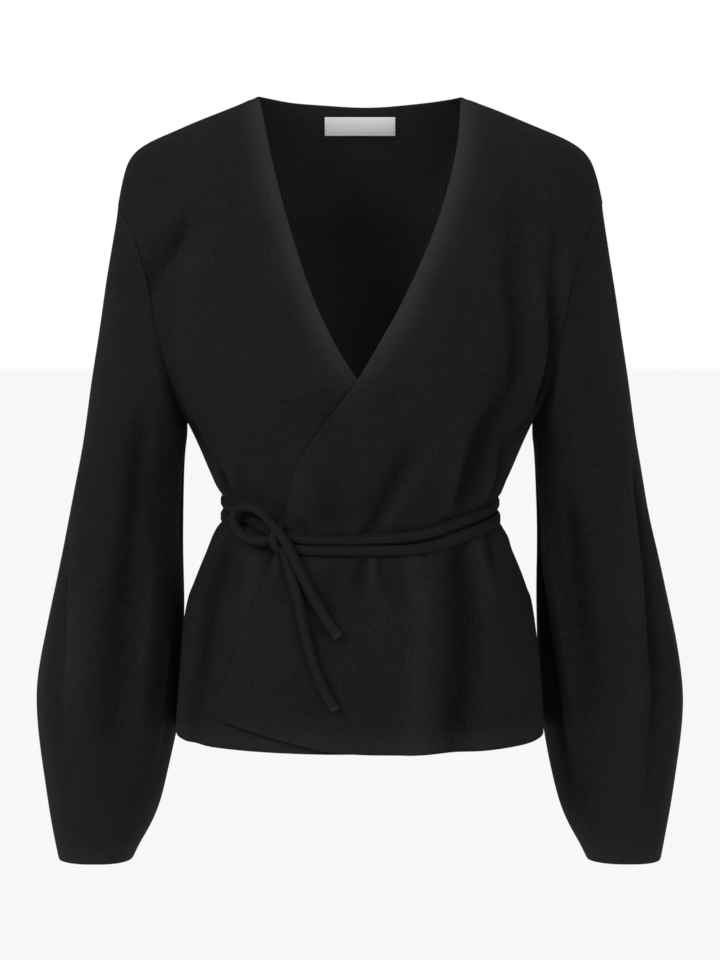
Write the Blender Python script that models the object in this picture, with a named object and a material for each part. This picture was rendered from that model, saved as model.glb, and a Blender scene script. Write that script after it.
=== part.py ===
"""Wrap cardigan of fine black knit, tied at the waist with a knitted cord.

Metres, +Z up. The front faces -Y and the wearer's left is +X. The origin lies midway between the two high
shoulder points, where the neck meets the shoulders, and the cardigan hangs below it as it is worn, hollow.
Every panel is a wall: its outer points come from level sections of the body or sections of the sleeve, its
inner points lie one wall further in, and panels that are sewn together keep a hair's gap.
"""

import math

import bmesh
import bpy
import numpy as np
from mathutils import Matrix, Vector

# Cloth and seams
WALL = 0.0020            # thickness of the knit
SEAM_GAP = 0.0003        # between two panels at a seam
LAYER_GAP = 0.0008       # between the two fronts where they lie on each other
LAYER_SINK = 0.0026      # the under front lies this much further in where it is covered

# Heights below the high shoulder points
HEM_Z = -0.574
ARMPIT_Z = -0.294
TIP_Z = -0.096           # highest point of the armhole, on the dropped shoulder
APEX_Z = -0.252          # where the two neck edges cross

# Neck and middle
NECK_HALF = 0.091        # from the middle to a high shoulder point
NECK_DROP = 0.008        # of the back neck below the high shoulder points
MIDDLE_Y = 0.004         # the plane of the side and shoulder seams

# The waist, which the belt pulls in; it dips in front
WAIST_Z = -0.371
BELT_DIP = 0.021
DIP_REACH = 0.075

# The neck edges of the fronts roll inward above the crossing
ROLL = 0.0075
ROLL_BAND = 0.034

# The raised corner at the end of each front's hem
CORNER_RISE = 0.026
CORNER_FROM = 0.020
CORNER_TO = 0.1285
RISE_FADES_AT = -0.440

# Knitted cord
CORD_RADIUS = 0.0039
TAIL_RADIUS = 0.0045
CORD_CLEARANCE = 0.0016

# Grids: faces across a front, across the back, up the armhole, and along a sleeve
FRONT_COLUMNS = 18
BACK_COLUMNS = 27
UPPER_ROWS = 12
SLEEVE_ROWS = 22
CROWDING = 0.05          # draws a front's columns towards its side seam and its edge


def table(columns, *rows):
    """A short table with named columns, sorted by the first."""
    values = np.array(sorted(rows))
    return {name: values[:, i] for i, name in enumerate(columns.split())}


def along(rows, column, at):
    """A column's value at a place along the table, on a smooth curve that never overshoots the rows."""
    x, y = rows[next(iter(rows))], rows[column]
    slope = np.diff(y) / np.diff(x)
    product = slope[1:] * slope[:-1]
    total = np.where(slope[1:] + slope[:-1] == 0, 1.0, slope[1:] + slope[:-1])
    inner = np.where(product > 0, 2 * product / total, 0.0)
    tangent = np.concatenate([slope[:1], inner, slope[-1:]])
    at = np.clip(at, x[0], x[-1])
    i = np.clip(np.searchsorted(x, at, side="right") - 1, 0, len(x) - 2)
    step = x[i + 1] - x[i]
    t = (at - x[i]) / step
    rise = (1 + 2 * t) * (1 - t) ** 2 * y[i] + t * t * (3 - 2 * t) * y[i + 1]
    return rise + step * (t * (1 - t) ** 2 * tangent[i] - t * t * (1 - t) * tangent[i + 1])


def fade(value, start, end):
    """0 before start, 1 after end, and smooth between them."""
    t = np.clip((value - start) / (end - start), 0, 1)
    return t * t * (3 - 2 * t)


# Level sections of the body: half the width, the depth in front of and behind the seams, and how square they are.
# Above the armpits half_width is where the section would end with the sleeve's top in it.
BODY = table(
    "z half_width front back power",
    (-0.574, 0.1670, 0.1170, 0.1180, 2.30),
    (-0.545, 0.1655, 0.1155, 0.1165, 2.30),
    (-0.510, 0.1625, 0.1130, 0.1140, 2.30),
    (-0.475, 0.1595, 0.1095, 0.1100, 2.28),
    (-0.453, 0.1565, 0.1065, 0.1060, 2.25),
    (-0.430, 0.1485, 0.1010, 0.0990, 2.22),
    (-0.408, 0.1395, 0.0945, 0.0915, 2.20),
    (-0.392, 0.1320, 0.0890, 0.0855, 2.20),
    (-0.381, 0.1215, 0.0845, 0.0805, 2.20),
    (-0.371, 0.1180, 0.0830, 0.0790, 2.20),
    (-0.361, 0.1210, 0.0845, 0.0805, 2.20),
    (-0.345, 0.1325, 0.0925, 0.0880, 2.20),
    (-0.318, 0.1440, 0.1010, 0.0955, 2.18),
    (-0.294, 0.1550, 0.1060, 0.0995, 2.15),
    (-0.280, 0.1660, 0.1080, 0.1010, 2.10),
    (-0.266, 0.1785, 0.1090, 0.1020, 2.08),
    (-0.236, 0.2020, 0.1085, 0.1030, 2.05),
    (-0.205, 0.2190, 0.1050, 0.1035, 2.00),
    (-0.175, 0.2265, 0.0990, 0.1030, 2.00),
    (-0.150, 0.2275, 0.0930, 0.1015, 2.00),
    (-0.125, 0.2240, 0.0860, 0.0980, 2.00),
    (-0.100, 0.2180, 0.0775, 0.0925, 2.00),
    (-0.075, 0.2125, 0.0670, 0.0845, 2.00),
    (-0.057, 0.2065, 0.0585, 0.0770, 2.00),
    (-0.048, 0.1990, 0.0535, 0.0725, 2.00),
    (-0.039, 0.1840, 0.0485, 0.0680, 2.00),
    (-0.030, 0.1625, 0.0430, 0.0630, 2.00),
    (-0.021, 0.1410, 0.0375, 0.0580, 2.00),
    (-0.012, 0.1190, 0.0320, 0.0525, 2.00),
    (-0.004, 0.1000, 0.0270, 0.0475, 2.00),
    (0.000, 0.0910, 0.0240, 0.0445, 2.00),
)

# How far the armhole seam lies inside the section's end
ARMHOLE = table(
    "z inset",
    (-0.294, 0.0000),
    (-0.284, 0.0030),
    (-0.266, 0.0105),
    (-0.236, 0.0285),
    (-0.205, 0.0390),
    (-0.175, 0.0405),
    (-0.150, 0.0355),
    (-0.125, 0.0235),
    (-0.110, 0.0125),
    (-0.103, 0.0065),
    (-0.096, 0.0000),
)

# The free edge of each front, from the shoulder to the hem: x is positive on the front's own side of the
# middle and negative where it has crossed to the other.
EDGE_OVER = table(
    "z x",
    (0.000, 0.0910),
    (-0.0325, 0.0884),
    (-0.078, 0.0787),
    (-0.121, 0.0660),
    (-0.159, 0.0483),
    (-0.191, 0.0333),
    (-0.226, 0.0125),
    (-0.252, -0.0022),
    (-0.289, -0.0310),
    (-0.3245, -0.0550),
    (-0.360, -0.0630),
    (-0.397, -0.0720),
    (-0.434, -0.0860),
    (-0.510, -0.1185),
    (-0.548, -0.1285),
    (-0.574, -0.1320),
)
EDGE_UNDER = table(
    "z x",
    (0.000, 0.0910),
    (-0.048, 0.0800),
    (-0.087, 0.0708),
    (-0.140, 0.0550),
    (-0.182, 0.0405),
    (-0.214, 0.0255),
    (-0.252, 0.0020),
    (-0.289, -0.0290),
    (-0.3245, -0.0520),
    (-0.360, -0.0610),
    (-0.397, -0.0700),
    (-0.434, -0.0840),
    (-0.510, -0.1150),
    (-0.548, -0.1260),
    (-0.574, -0.1300),
)

# Heights of the level rows from the hem to just below the armpit, closer together at the waist
LEVELS = (
    -0.574, -0.546, -0.512, -0.478, -0.448, -0.422, -0.405, -0.392, -0.381, -0.371, -0.360, -0.344, -0.320
)

# Main folds, as soft ridges (height above 0) and troughs (below 0) from one point to another. x and z are seen
# from the front, or through from the front for the back.
FRONT_FOLDS = table(
    "x_from z_from x_to z_to width height",
    (0.078, -0.368, 0.130, -0.262, 0.015, -0.0080),
    (0.050, -0.374, 0.088, -0.296, 0.014, 0.0050),
    (0.012, -0.386, 0.045, -0.306, 0.012, -0.0050),
    (0.104, -0.364, 0.124, -0.300, 0.011, 0.0040),
    (0.083, -0.402, 0.074, -0.574, 0.018, -0.0085),
    (0.044, -0.412, 0.036, -0.560, 0.019, 0.0065),
    (0.003, -0.412, -0.006, -0.500, 0.014, -0.0060),
    (0.108, -0.396, 0.126, -0.510, 0.014, 0.0060),
    (-0.110, -0.392, -0.144, -0.460, 0.014, 0.0065),
    (-0.102, -0.404, -0.122, -0.540, 0.015, -0.0070),
    (-0.066, -0.404, -0.078, -0.500, 0.014, 0.0045),
    (-0.094, -0.362, -0.112, -0.290, 0.014, -0.0055),
    (-0.045, -0.376, -0.060, -0.296, 0.015, 0.0040),
    (0.166, -0.110, 0.154, -0.285, 0.011, -0.0070),
    (-0.155, -0.110, -0.150, -0.290, 0.014, -0.0045),
)
BACK_FOLDS = table(
    "x_from z_from x_to z_to width height",
    (-0.098, -0.358, -0.126, -0.262, 0.014, -0.0065),
    (-0.056, -0.360, -0.078, -0.265, 0.015, 0.0050),
    (-0.014, -0.360, -0.020, -0.276, 0.014, -0.0055),
    (0.030, -0.360, 0.050, -0.270, 0.015, 0.0045),
    (0.076, -0.358, 0.104, -0.258, 0.014, -0.0070),
    (-0.106, -0.384, -0.128, -0.520, 0.015, -0.0070),
    (-0.066, -0.384, -0.078, -0.574, 0.018, 0.0070),
    (-0.024, -0.384, -0.032, -0.540, 0.016, -0.0080),
    (0.018, -0.384, 0.022, -0.520, 0.016, 0.0055),
    (0.060, -0.384, 0.076, -0.574, 0.018, -0.0080),
    (0.100, -0.384, 0.124, -0.520, 0.015, 0.0065),
    (0.150, -0.120, 0.146, -0.285, 0.014, -0.0045),
    (-0.150, -0.120, -0.146, -0.285, 0.014, -0.0045),
)

# Sections of a sleeve, from the armhole to the cuff: its outer and inner line as seen from the front, half its
# depth, and the plane of its middle. The arm leans back and then comes forward.
SLEEVE = table(
    "at outer_x outer_z inner_x inner_z depth middle_y",
    (0.00, 0.2170, -0.0960, 0.1550, -0.2940, 0.0580, 0.0040),
    (0.08, 0.2262, -0.1500, 0.1548, -0.3030, 0.0600, 0.0050),
    (0.16, 0.2350, -0.2050, 0.1560, -0.3130, 0.0600, 0.0070),
    (0.24, 0.2433, -0.2600, 0.1575, -0.3260, 0.0590, 0.0100),
    (0.32, 0.2518, -0.3160, 0.1590, -0.3500, 0.0580, 0.0140),
    (0.39, 0.2608, -0.3645, 0.1601, -0.3816, 0.0590, 0.0200),
    (0.46, 0.2706, -0.4105, 0.1605, -0.4175, 0.0610, 0.0270),
    (0.53, 0.2803, -0.4566, 0.1604, -0.4586, 0.0640, 0.0330),
    (0.61, 0.2894, -0.5027, 0.1612, -0.5027, 0.0670, 0.0380),
    (0.68, 0.2952, -0.5425, 0.1638, -0.5425, 0.0690, 0.0400),
    (0.735, 0.2931, -0.5757, 0.1672, -0.5757, 0.0680, 0.0380),
    (0.79, 0.2891, -0.6056, 0.1747, -0.6056, 0.0640, 0.0350),
    (0.85, 0.2842, -0.6382, 0.1829, -0.6382, 0.0555, 0.0300),
    (0.90, 0.2801, -0.6597, 0.1918, -0.6597, 0.0470, 0.0260),
    (0.95, 0.2762, -0.6791, 0.2036, -0.6791, 0.0385, 0.0220),
    (1.00, 0.2734, -0.6938, 0.2100, -0.6938, 0.0325, 0.0200),
)
SLEEVE_POWER = 2.1
SEAM_SHAPE_FADES = 0.33  # the part of the sleeve over which the armhole's own curve dies away

# Main folds of each sleeve: turn is the angle round it in degrees, 0 at its outer line and 90 in front, and
# at is the share of its length.
FOLDS_RIGHT = table(
    "turn_from at_from turn_to at_to width height",
    (38, 0.34, 40, 0.84, 15, 0.0040),
    (98, 0.52, 96, 0.80, 14, -0.0045),
    (140, 0.60, 138, 0.94, 11, -0.0035),
    (120, 0.10, 150, 0.34, 16, -0.0040),
    (250, 0.30, 262, 0.82, 18, -0.0045),
    (318, 0.36, 312, 0.86, 16, 0.0040),
    (68, 0.70, 70, 0.98, 12, -0.0030),
)
FOLDS_LEFT = table(
    "turn_from at_from turn_to at_to width height",
    (158, 0.50, 148, 0.84, 14, -0.0050),
    (66, 0.54, 62, 0.88, 14, -0.0040),
    (36, 0.40, 30, 0.84, 15, 0.0035),
    (116, 0.08, 148, 0.33, 16, -0.0045),
    (112, 0.60, 108, 0.96, 13, 0.0035),
    (246, 0.34, 256, 0.86, 18, -0.0040),
    (306, 0.40, 300, 0.84, 16, 0.0040),
)

# The belt's two turns: the angle round the waist in degrees, 0 in front and 90 at the wearer's left, and the
# height of each turn's middle.
BELT = table(
    "turn upper lower",
    (-180, -0.3622, -0.3740),
    (-135, -0.3622, -0.3740),
    (-90, -0.3640, -0.3768),
    (-62, -0.3700, -0.3810),
    (-48, -0.3785, -0.3890),
    (-35, -0.3880, -0.3970),
    (-20, -0.3925, -0.4015),
    (0, -0.3925, -0.4015),
    (15, -0.3905, -0.4015),
    (25, -0.3875, -0.3990),
    (34, -0.3825, -0.3945),
    (45, -0.3775, -0.3890),
    (57, -0.3735, -0.3850),
    (70, -0.3705, -0.3820),
    (90, -0.3652, -0.3782),
    (135, -0.3622, -0.3740),
    (180, -0.3622, -0.3740),
)
BELT_START = -25         # the turns leave the knot on its left here,
BELT_END = 315           # and come back to it from the right here
BELT_POINTS = 42
COVERED_FROM = -0.085    # the belt lies on the over front from here on
PINNED_REACH = 0.014     # folds die away this close above and below the belt

# The bow, on the wearer's right
KNOT_AT = (-0.0740, -0.0825, -0.3900)
KNOT_SIZE = (0.0105, 0.0068, 0.0085)
KNOT_TILT = math.radians(42)
LOOP_ROUTE = (
    (-0.0812, -0.0858, -0.3802),
    (-0.0868, -0.0808, -0.3732),
    (-0.0955, -0.0725, -0.3665),
    (-0.1045, -0.0640, -0.3628),
    (-0.1125, -0.0565, -0.3660),
    (-0.1145, -0.0545, -0.3730),
    (-0.1105, -0.0610, -0.3805),
    (-0.1015, -0.0710, -0.3860),
    (-0.0935, -0.0772, -0.3890),
    (-0.0872, -0.0810, -0.3905),
)
FRONT_TAIL_ROUTE = (
    (-0.0668, -0.0912, -0.3950),
    (-0.0622, -0.0950, -0.4050),
    (-0.0575, -0.0963, -0.4140),
    (-0.0500, -0.0984, -0.4270),
    (-0.0430, -0.1028, -0.4390),
    (-0.0345, -0.1069, -0.4510),
    (-0.0270, -0.1090, -0.4600),
    (-0.0196, -0.1104, -0.4680),
)
BACK_TAIL_ROUTE = (
    (-0.0752, -0.0826, -0.4015),
    (-0.0708, -0.0900, -0.4125),
    (-0.0665, -0.0967, -0.4250),
    (-0.0610, -0.1026, -0.4430),
    (-0.0550, -0.1062, -0.4600),
    (-0.0495, -0.1092, -0.4750),
    (-0.0440, -0.1117, -0.4900),
    (-0.0370, -0.1140, -0.5050),
    (-0.0290, -0.1158, -0.5190),
    (-0.0204, -0.1174, -0.5315),
)

# Blank woven label inside the back neck
LABEL_HALF = 0.0325
LABEL_TOP = -0.0152
LABEL_BOTTOM = -0.0317
LABEL_THICK = 0.0006
LABEL_COLUMNS = 8

# Colours as linear values, and roughness
BLACK_KNIT = ((0.0060, 0.0060, 0.0065), 0.90)
BLACK_CORD = ((0.0075, 0.0075, 0.0080), 0.85)
WHITE_LABEL = ((0.80, 0.79, 0.77), 0.60)


def body(x, z, facing):
    """The body's outer surface at width x and height z, in front for facing -1 and behind for +1."""
    half = along(BODY, "half_width", z)
    share = np.clip(np.abs(x) / half, 0, 1)
    dip = BELT_DIP * (1 - share**2) * np.exp(-(((z - WAIST_Z) / DIP_REACH) ** 2)) if facing < 0 else 0
    depth = along(BODY, "front" if facing < 0 else "back", z + dip)
    power = along(BODY, "power", z)
    fullness = (1 - share**power) ** (1 / power)
    return np.stack([x, MIDDLE_Y + facing * depth * fullness, z], axis=-1)


def outward(points):
    """Unit normals of the body's sections at points on them, smooth across the seams."""

    def level(p):
        power = along(BODY, "power", p[..., 2])
        deep = p[..., 1] - MIDDLE_Y
        depth = np.where(deep < 0, along(BODY, "front", p[..., 2]), along(BODY, "back", p[..., 2]))
        half = along(BODY, "half_width", p[..., 2])
        return np.abs(p[..., 0] / half) ** power + np.abs(deep / depth) ** power

    small = 0.0005
    shift = np.eye(3) * small
    slopes = [level(points + shift[i]) - level(points - shift[i]) for i in range(3)]
    normal = np.stack(slopes, axis=-1)
    return normal / np.linalg.norm(normal, axis=-1, keepdims=True)


def girth(x, z, facing):
    """Distance round the body from the front middle, negative on the wearer's right."""
    half = along(BODY, "half_width", z)
    quarter = 0.81 * (half + along(BODY, "front", z))
    share = np.arcsin(np.clip(x / half, -1, 1)) / (math.pi / 2)
    return quarter * share if facing < 0 else quarter * (2 * np.sign(x + 1e-9) - share)


def belt_height(x, z, facing):
    """The height of the belt's middle where it passes a place on the body."""
    share = np.clip(x / along(BODY, "half_width", z), -1, 1)
    turn = np.degrees(np.arcsin(share))
    turn = turn if facing < 0 else np.sign(x + 1e-9) * 180 - turn
    return (along(BELT, "upper", turn) + along(BELT, "lower", turn)) / 2


def seam_x(z):
    """The half width up to the side seam, the armhole or, at its top, the shoulder seam."""
    return along(BODY, "half_width", z) - along(ARMHOLE, "inset", z)


def creased(x, z, facing):
    """How far the main folds lift the body's surface, none of them under the belt."""
    rows = FRONT_FOLDS if facing < 0 else BACK_FOLDS
    total = np.zeros_like(x)
    across = girth(x, z, facing)
    for i in range(len(rows["x_from"])):
        x0, z0, x1, z1, width, height = (rows[name][i] for name in rows)
        start = np.array([girth(np.array(x0), np.array(z0), facing), z0])
        run = np.array([girth(np.array(x1), np.array(z1), facing), z1]) - start
        length = np.hypot(*run)
        share = ((across - start[0]) * run[0] + (z - start[1]) * run[1]) / length**2
        off = ((across - start[0]) * run[1] - (z - start[1]) * run[0]) / length
        ends = fade(share, -0.10, 0.15) * (1 - fade(share, 0.35, 1.1))
        total = total + height * ends * np.exp(-((off / width) ** 2))
    pinned = 1 - np.exp(-(((z - belt_height(x, z, facing)) / PINNED_REACH) ** 2))
    at_seam = fade(np.abs(x) / seam_x(z), 0.93, 1.0)
    return total * pinned * (1 - at_seam)


def side_x(half, power, edge, columns):
    """Widths of a row's points, from the side seam (column 0) to a free edge, evenly round the section."""
    last = np.arccos(np.sign(edge) * np.abs(edge / half) ** (power / 2))
    turn = last * columns
    return half * np.sign(np.cos(turn)) * np.abs(np.cos(turn)) ** (2 / power)


def shoulder_line(columns):
    """Width and height of points along the shoulder seam, from the armhole's top to the neck."""
    z = np.linspace(TIP_Z, 0, 200)
    x = along(BODY, "half_width", z)
    run = np.concatenate([[0], np.cumsum(np.hypot(np.diff(x), np.diff(z)))])
    z = np.interp(columns * run[-1], run, z)
    return along(BODY, "half_width", z), z


def armhole_rise():
    """Shares of the armhole's height for the rows that end on it, closest at its top and bottom."""
    return (1 - np.cos(np.pi * np.arange(UPPER_ROWS + 1) / UPPER_ROWS)) / 2


def armhole_line(rise):
    """Width and height of the armhole seam."""
    z = ARMPIT_Z + (TIP_Z - ARMPIT_Z) * rise
    return seam_x(z), z


def patch(left, right, bottom, top, rise, columns):
    """A grid between four border lines in the plane of x and z."""
    grids = []
    for lo, hi, down, up in zip(left, right, bottom, top):
        r, c = rise[:, None], columns[None, :]
        sides = (1 - c) * lo[:, None] + c * hi[:, None]
        ends = (1 - r) * down[None, :] + r * up[None, :]
        corners = (1 - r) * ((1 - c) * lo[0] + c * hi[0]) + r * ((1 - c) * lo[-1] + c * hi[-1])
        grids.append(sides + ends - corners)
    return grids


def front_plan(edge):
    """Width and height of every point of a front, on the side where x is its own."""
    even = np.linspace(0, 1, FRONT_COLUMNS + 1)
    columns = even - CROWDING * np.sin(2 * np.pi * even)
    rows_x, rows_z = [], []
    for level in LEVELS:
        raised = fade(-level, -RISE_FADES_AT, -HEM_Z) * CORNER_RISE
        half, power = along(BODY, "half_width", level), along(BODY, "power", level)
        x = side_x(half, power, along(edge, "x", level + raised), columns)
        rows_x.append(x)
        rows_z.append(level + raised * np.clip((-x - CORNER_FROM) / (CORNER_TO - CORNER_FROM), 0, 1))
    rise = armhole_rise()
    edge_z = ARMPIT_Z * (1 - rise)
    half, power = along(BODY, "half_width", ARMPIT_Z), along(BODY, "power", ARMPIT_Z)
    bottom = side_x(half, power, along(edge, "x", ARMPIT_Z), columns)
    upper_x, upper_z = patch(
        armhole_line(rise),
        (along(edge, "x", edge_z), edge_z),
        (bottom, np.full_like(bottom, ARMPIT_Z)),
        shoulder_line(columns),
        rise,
        columns,
    )
    return np.vstack([rows_x, upper_x]), np.vstack([rows_z, upper_z])


def back_plan():
    """Width and height of every point of the back, from the wearer's right to the left."""
    columns = np.linspace(0, 1, BACK_COLUMNS + 1)
    turn = np.pi * (1 - columns)

    def row(level):
        half, power = along(BODY, "half_width", level), along(BODY, "power", level)
        return half * np.sign(np.cos(turn)) * np.abs(np.cos(turn)) ** (2 / power)

    rise = armhole_rise()
    arm_x, arm_z = armhole_line(rise)
    third = BACK_COLUMNS // 3
    shoulder_x, shoulder_z = shoulder_line(np.linspace(0, 1, third + 1))
    neck_x = -NECK_HALF * np.cos(np.pi * np.arange(1, third) / third)
    neck_z = -NECK_DROP * (1 - (neck_x / NECK_HALF) ** 2)
    top_x = np.concatenate([-shoulder_x, neck_x, shoulder_x[::-1]])
    top_z = np.concatenate([shoulder_z, neck_z, shoulder_z[::-1]])
    bottom = row(ARMPIT_Z)
    upper_x, upper_z = patch(
        (-arm_x, arm_z),
        (arm_x, arm_z),
        (bottom, np.full_like(bottom, ARMPIT_Z)),
        (top_x, top_z),
        rise,
        columns,
    )
    lower_x = [row(level) for level in LEVELS]
    lower_z = [np.full(BACK_COLUMNS + 1, level) for level in LEVELS]
    return np.vstack([lower_x, upper_x]), np.vstack([lower_z, upper_z])


def seamed(points, facing, armholes):
    """A panel's points with half a seam gap taken off at its side seams and armholes."""
    points = points.copy()
    first = len(LEVELS)
    for column, side in armholes:
        across = armhole_part(armhole(side)["across"], facing)
        points[:first, column, 1] += facing * SEAM_GAP / 2
        points[first:, column] -= across * SEAM_GAP / 2
        points[first, column, 1] += facing * SEAM_GAP / 2
    return points


def wall(name, outer, inner, closed, material):
    """A closed wall between an outer and an inner grid of points; closed grids run right round."""
    rows, columns = outer.shape[:2]
    bm = bmesh.new()
    sheets = [[[bm.verts.new(p) for p in row] for row in sheet] for sheet in (outer, inner)]
    around = columns if closed else columns - 1
    for sheet, flip in zip(sheets, (False, True)):
        for i in range(rows - 1):
            for j in range(around):
                k = (j + 1) % columns
                face = [sheet[i][j], sheet[i][k], sheet[i + 1][k], sheet[i + 1][j]]
                bm.faces.new(face[::-1] if flip else face)
    rims = [(sheets[0][0], sheets[1][0]), (sheets[1][-1], sheets[0][-1])]
    if not closed:
        sides = [[[row[j] for row in sheet] for sheet in sheets] for j in (0, -1)]
        rims += [(sides[0][1], sides[0][0]), (sides[1][0], sides[1][1])]
    for upper, lower in rims:
        last = len(upper) if closed else len(upper) - 1
        for j in range(last):
            k = (j + 1) % len(upper)
            bm.faces.new((upper[k], upper[j], lower[j], lower[k]))
    bmesh.ops.recalc_face_normals(bm, faces=bm.faces)
    mesh = bpy.data.meshes.new(name)
    bm.to_mesh(mesh)
    bm.free()
    mesh.shade_smooth()
    return placed(name, mesh, material)


def material(name, look):
    """A Principled material from a colour and a roughness."""
    made = bpy.data.materials.new(name)
    made.use_nodes = True
    shader = made.node_tree.nodes["Principled BSDF"]
    shader.inputs["Base Color"].default_value = (*look[0], 1.0)
    shader.inputs["Roughness"].default_value = look[1]
    shader.inputs["Metallic"].default_value = 0.0
    made.diffuse_color = (*look[0], 1.0)
    return made


def placed(name, data, look):
    """An object for the data, with its material, in the garment's collection."""
    item = bpy.data.objects.new(name, data)
    data.materials.append(look)
    GARMENT.objects.link(item)
    return item


def sleeve_form(side):
    """A sleeve's rings of points without its folds, each from its outer line round the front, and their normals."""
    x, z = armhole_line(armhole_rise())
    front, back = body(side * x, z, -1), body(side * x, z, 1)
    front += outward(front) * creased(side * x, z, -1)[:, None]
    back += outward(back) * creased(side * x, z, 1)[:, None]
    ring = np.concatenate([front[::-1], back[1:-1]])
    turn = np.pi * np.arange(2 * UPPER_ROWS) / UPPER_ROWS
    even = np.cos(turn), np.sin(turn)
    square = [np.sign(part) * np.abs(part) ** (2 / SLEEVE_POWER) for part in even]

    def section(at, squareness):
        outer_x, outer_z, inner_x, inner_z, depth, middle = (
            along(SLEEVE, column, at) for column in list(SLEEVE)[1:]
        )
        wide, deep = [(1 - squareness) * a + squareness * b for a, b in zip(even, square)]
        x = (outer_x + inner_x) / 2 + (outer_x - inner_x) / 2 * wide
        z = (outer_z + inner_z) / 2 + (outer_z - inner_z) / 2 * wide
        return np.stack([side * x, middle - depth * deep, z], axis=-1)

    own_shape = ring - section(0.0, 0.0)
    rings = []
    for at in np.linspace(0, 1, SLEEVE_ROWS + 1):
        squareness = fade(at, 0, SEAM_SHAPE_FADES)
        rings.append(section(at, squareness) + own_shape * (1 - squareness) * (1 - at))
    rings = np.array(rings)
    looped = np.concatenate([rings[:, -1:], rings, rings[:, :1]], axis=1)
    normals = np.cross(np.gradient(looped, axis=0), np.gradient(looped, axis=1))[:, 1:-1]
    normals /= np.linalg.norm(normals, axis=2, keepdims=True)
    out = rings - rings.mean(axis=1, keepdims=True)
    return rings, normals * np.sign((out * normals).sum())


def armhole(side):
    """The armhole seam's ring: the normals that both its panels share, and the directions across it."""
    rings, normals = sleeve_form(side)
    ring = rings[0]
    shared = outward(ring) + normals[0]
    shared /= np.linalg.norm(shared, axis=1, keepdims=True)
    run = np.roll(ring, -1, axis=0) - np.roll(ring, 1, axis=0)
    across = np.cross(run, shared)
    across /= np.linalg.norm(across, axis=1, keepdims=True)
    across *= np.sign(across[:, :1]) * side
    return {"normals": shared, "across": across}


def armhole_part(ring, facing):
    """The front or back half of an armhole's ring, from the armpit up to its top."""
    if facing < 0:
        return ring[UPPER_ROWS::-1]
    return np.concatenate([ring[UPPER_ROWS:], ring[:1]])


def rim_normals(normals, facing, armholes):
    """A panel's normals, with those of its armholes shared with the sleeves."""
    normals = normals.copy()
    for column, side in armholes:
        normals[len(LEVELS) :, column] = armhole_part(armhole(side)["normals"], facing)
    return normals


def make_back(look):
    x, z = back_plan()
    base = body(x, z, 1)
    normals = outward(base)
    armholes = ((0, -1), (-1, 1))
    outer = seamed(base + normals * creased(x, z, 1)[..., None], 1, armholes)
    third = BACK_COLUMNS // 3
    for columns in (slice(0, third + 1), slice(2 * third, None)):
        outer[-1, columns, 1] += SEAM_GAP / 2
    return wall("back", outer, outer - rim_normals(normals, 1, armholes) * WALL, False, look)


def make_front(name, side, edge, layer, look):
    """A front; layer gives, from each point's own width and height, how far it lies out from the body."""
    x, z = front_plan(edge)
    base = body(side * x, z, -1)
    normals = outward(base)
    from_edge = np.array([[np.linalg.norm(p - base[:, -1], axis=1).min() for p in row] for row in base])
    rolled = ROLL * np.clip(1 - from_edge / ROLL_BAND, 0, 1) ** 2
    rolled *= fade(z, APEX_Z + 0.004, APEX_Z + 0.060) * (1 - fade(z, -0.03, 0.0))
    out = layer(x, z) + creased(side * x, z, -1) - rolled
    armholes = ((0, side),)
    outer = seamed(base + normals * out[..., None], -1, armholes)
    outer[-1, :, 1] -= SEAM_GAP / 2
    return wall(name, outer, outer - rim_normals(normals, -1, armholes) * WALL, False, look)


def over_layer(x, z):
    """The over front lies one wall out, down to nothing at its side seam and above the crossing."""
    return (WALL + LAYER_GAP) * (1 - fade(x / seam_x(z), 0.78, 0.96)) * (1 - fade(z, APEX_Z + 0.006, APEX_Z + 0.10))


def under_layer(x, z):
    """The under front lies further in where the over front covers it."""
    covered = fade(-along(EDGE_OVER, "x", z) - x, -0.004, 0.016)
    return -LAYER_SINK * covered * (1 - fade(z, APEX_Z - 0.01, APEX_Z + 0.03))


def sleeve_folds(rows, turn, at):
    """How far a sleeve's main folds lift its surface."""
    total = np.zeros(np.broadcast(turn, at).shape)
    for i in range(len(rows["turn_from"])):
        turn0, at0, turn1, at1, width, height = (rows[name][i] for name in rows)
        share = (at - at0) / (at1 - at0)
        off = (turn - (turn0 + (turn1 - turn0) * share) + 180) % 360 - 180
        ends = fade(share, 0.0, 0.35) * (1 - fade(share, 0.6, 1.0))
        total = total + height * ends * np.exp(-((off / width) ** 2))
    return total


def make_sleeve(name, side, folds, look):
    rings, normals = sleeve_form(side)
    seam = armhole(side)
    turn = np.linspace(0, 360, 2 * UPPER_ROWS, endpoint=False)[None, :]
    at = np.linspace(0, 1, SLEEVE_ROWS + 1)[:, None]
    rings += normals * sleeve_folds(folds, turn, at)[..., None]
    rings[0] += seam["across"] * SEAM_GAP / 2
    normals[0] = seam["normals"]
    return wall(name, rings, rings - normals * WALL, True, look)


def make_label(look):
    x = np.linspace(-LABEL_HALF, LABEL_HALF, LABEL_COLUMNS + 1)[None, :] + np.zeros((3, 1))
    z = np.linspace(LABEL_BOTTOM, LABEL_TOP, 3)[:, None] + np.zeros((1, LABEL_COLUMNS + 1))
    base = body(x, z, 1)
    normals = outward(base)
    front = base - normals * (WALL + SEAM_GAP + 0.0011)
    return wall("neck_label", front, front - normals * LABEL_THICK, False, look)


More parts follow.
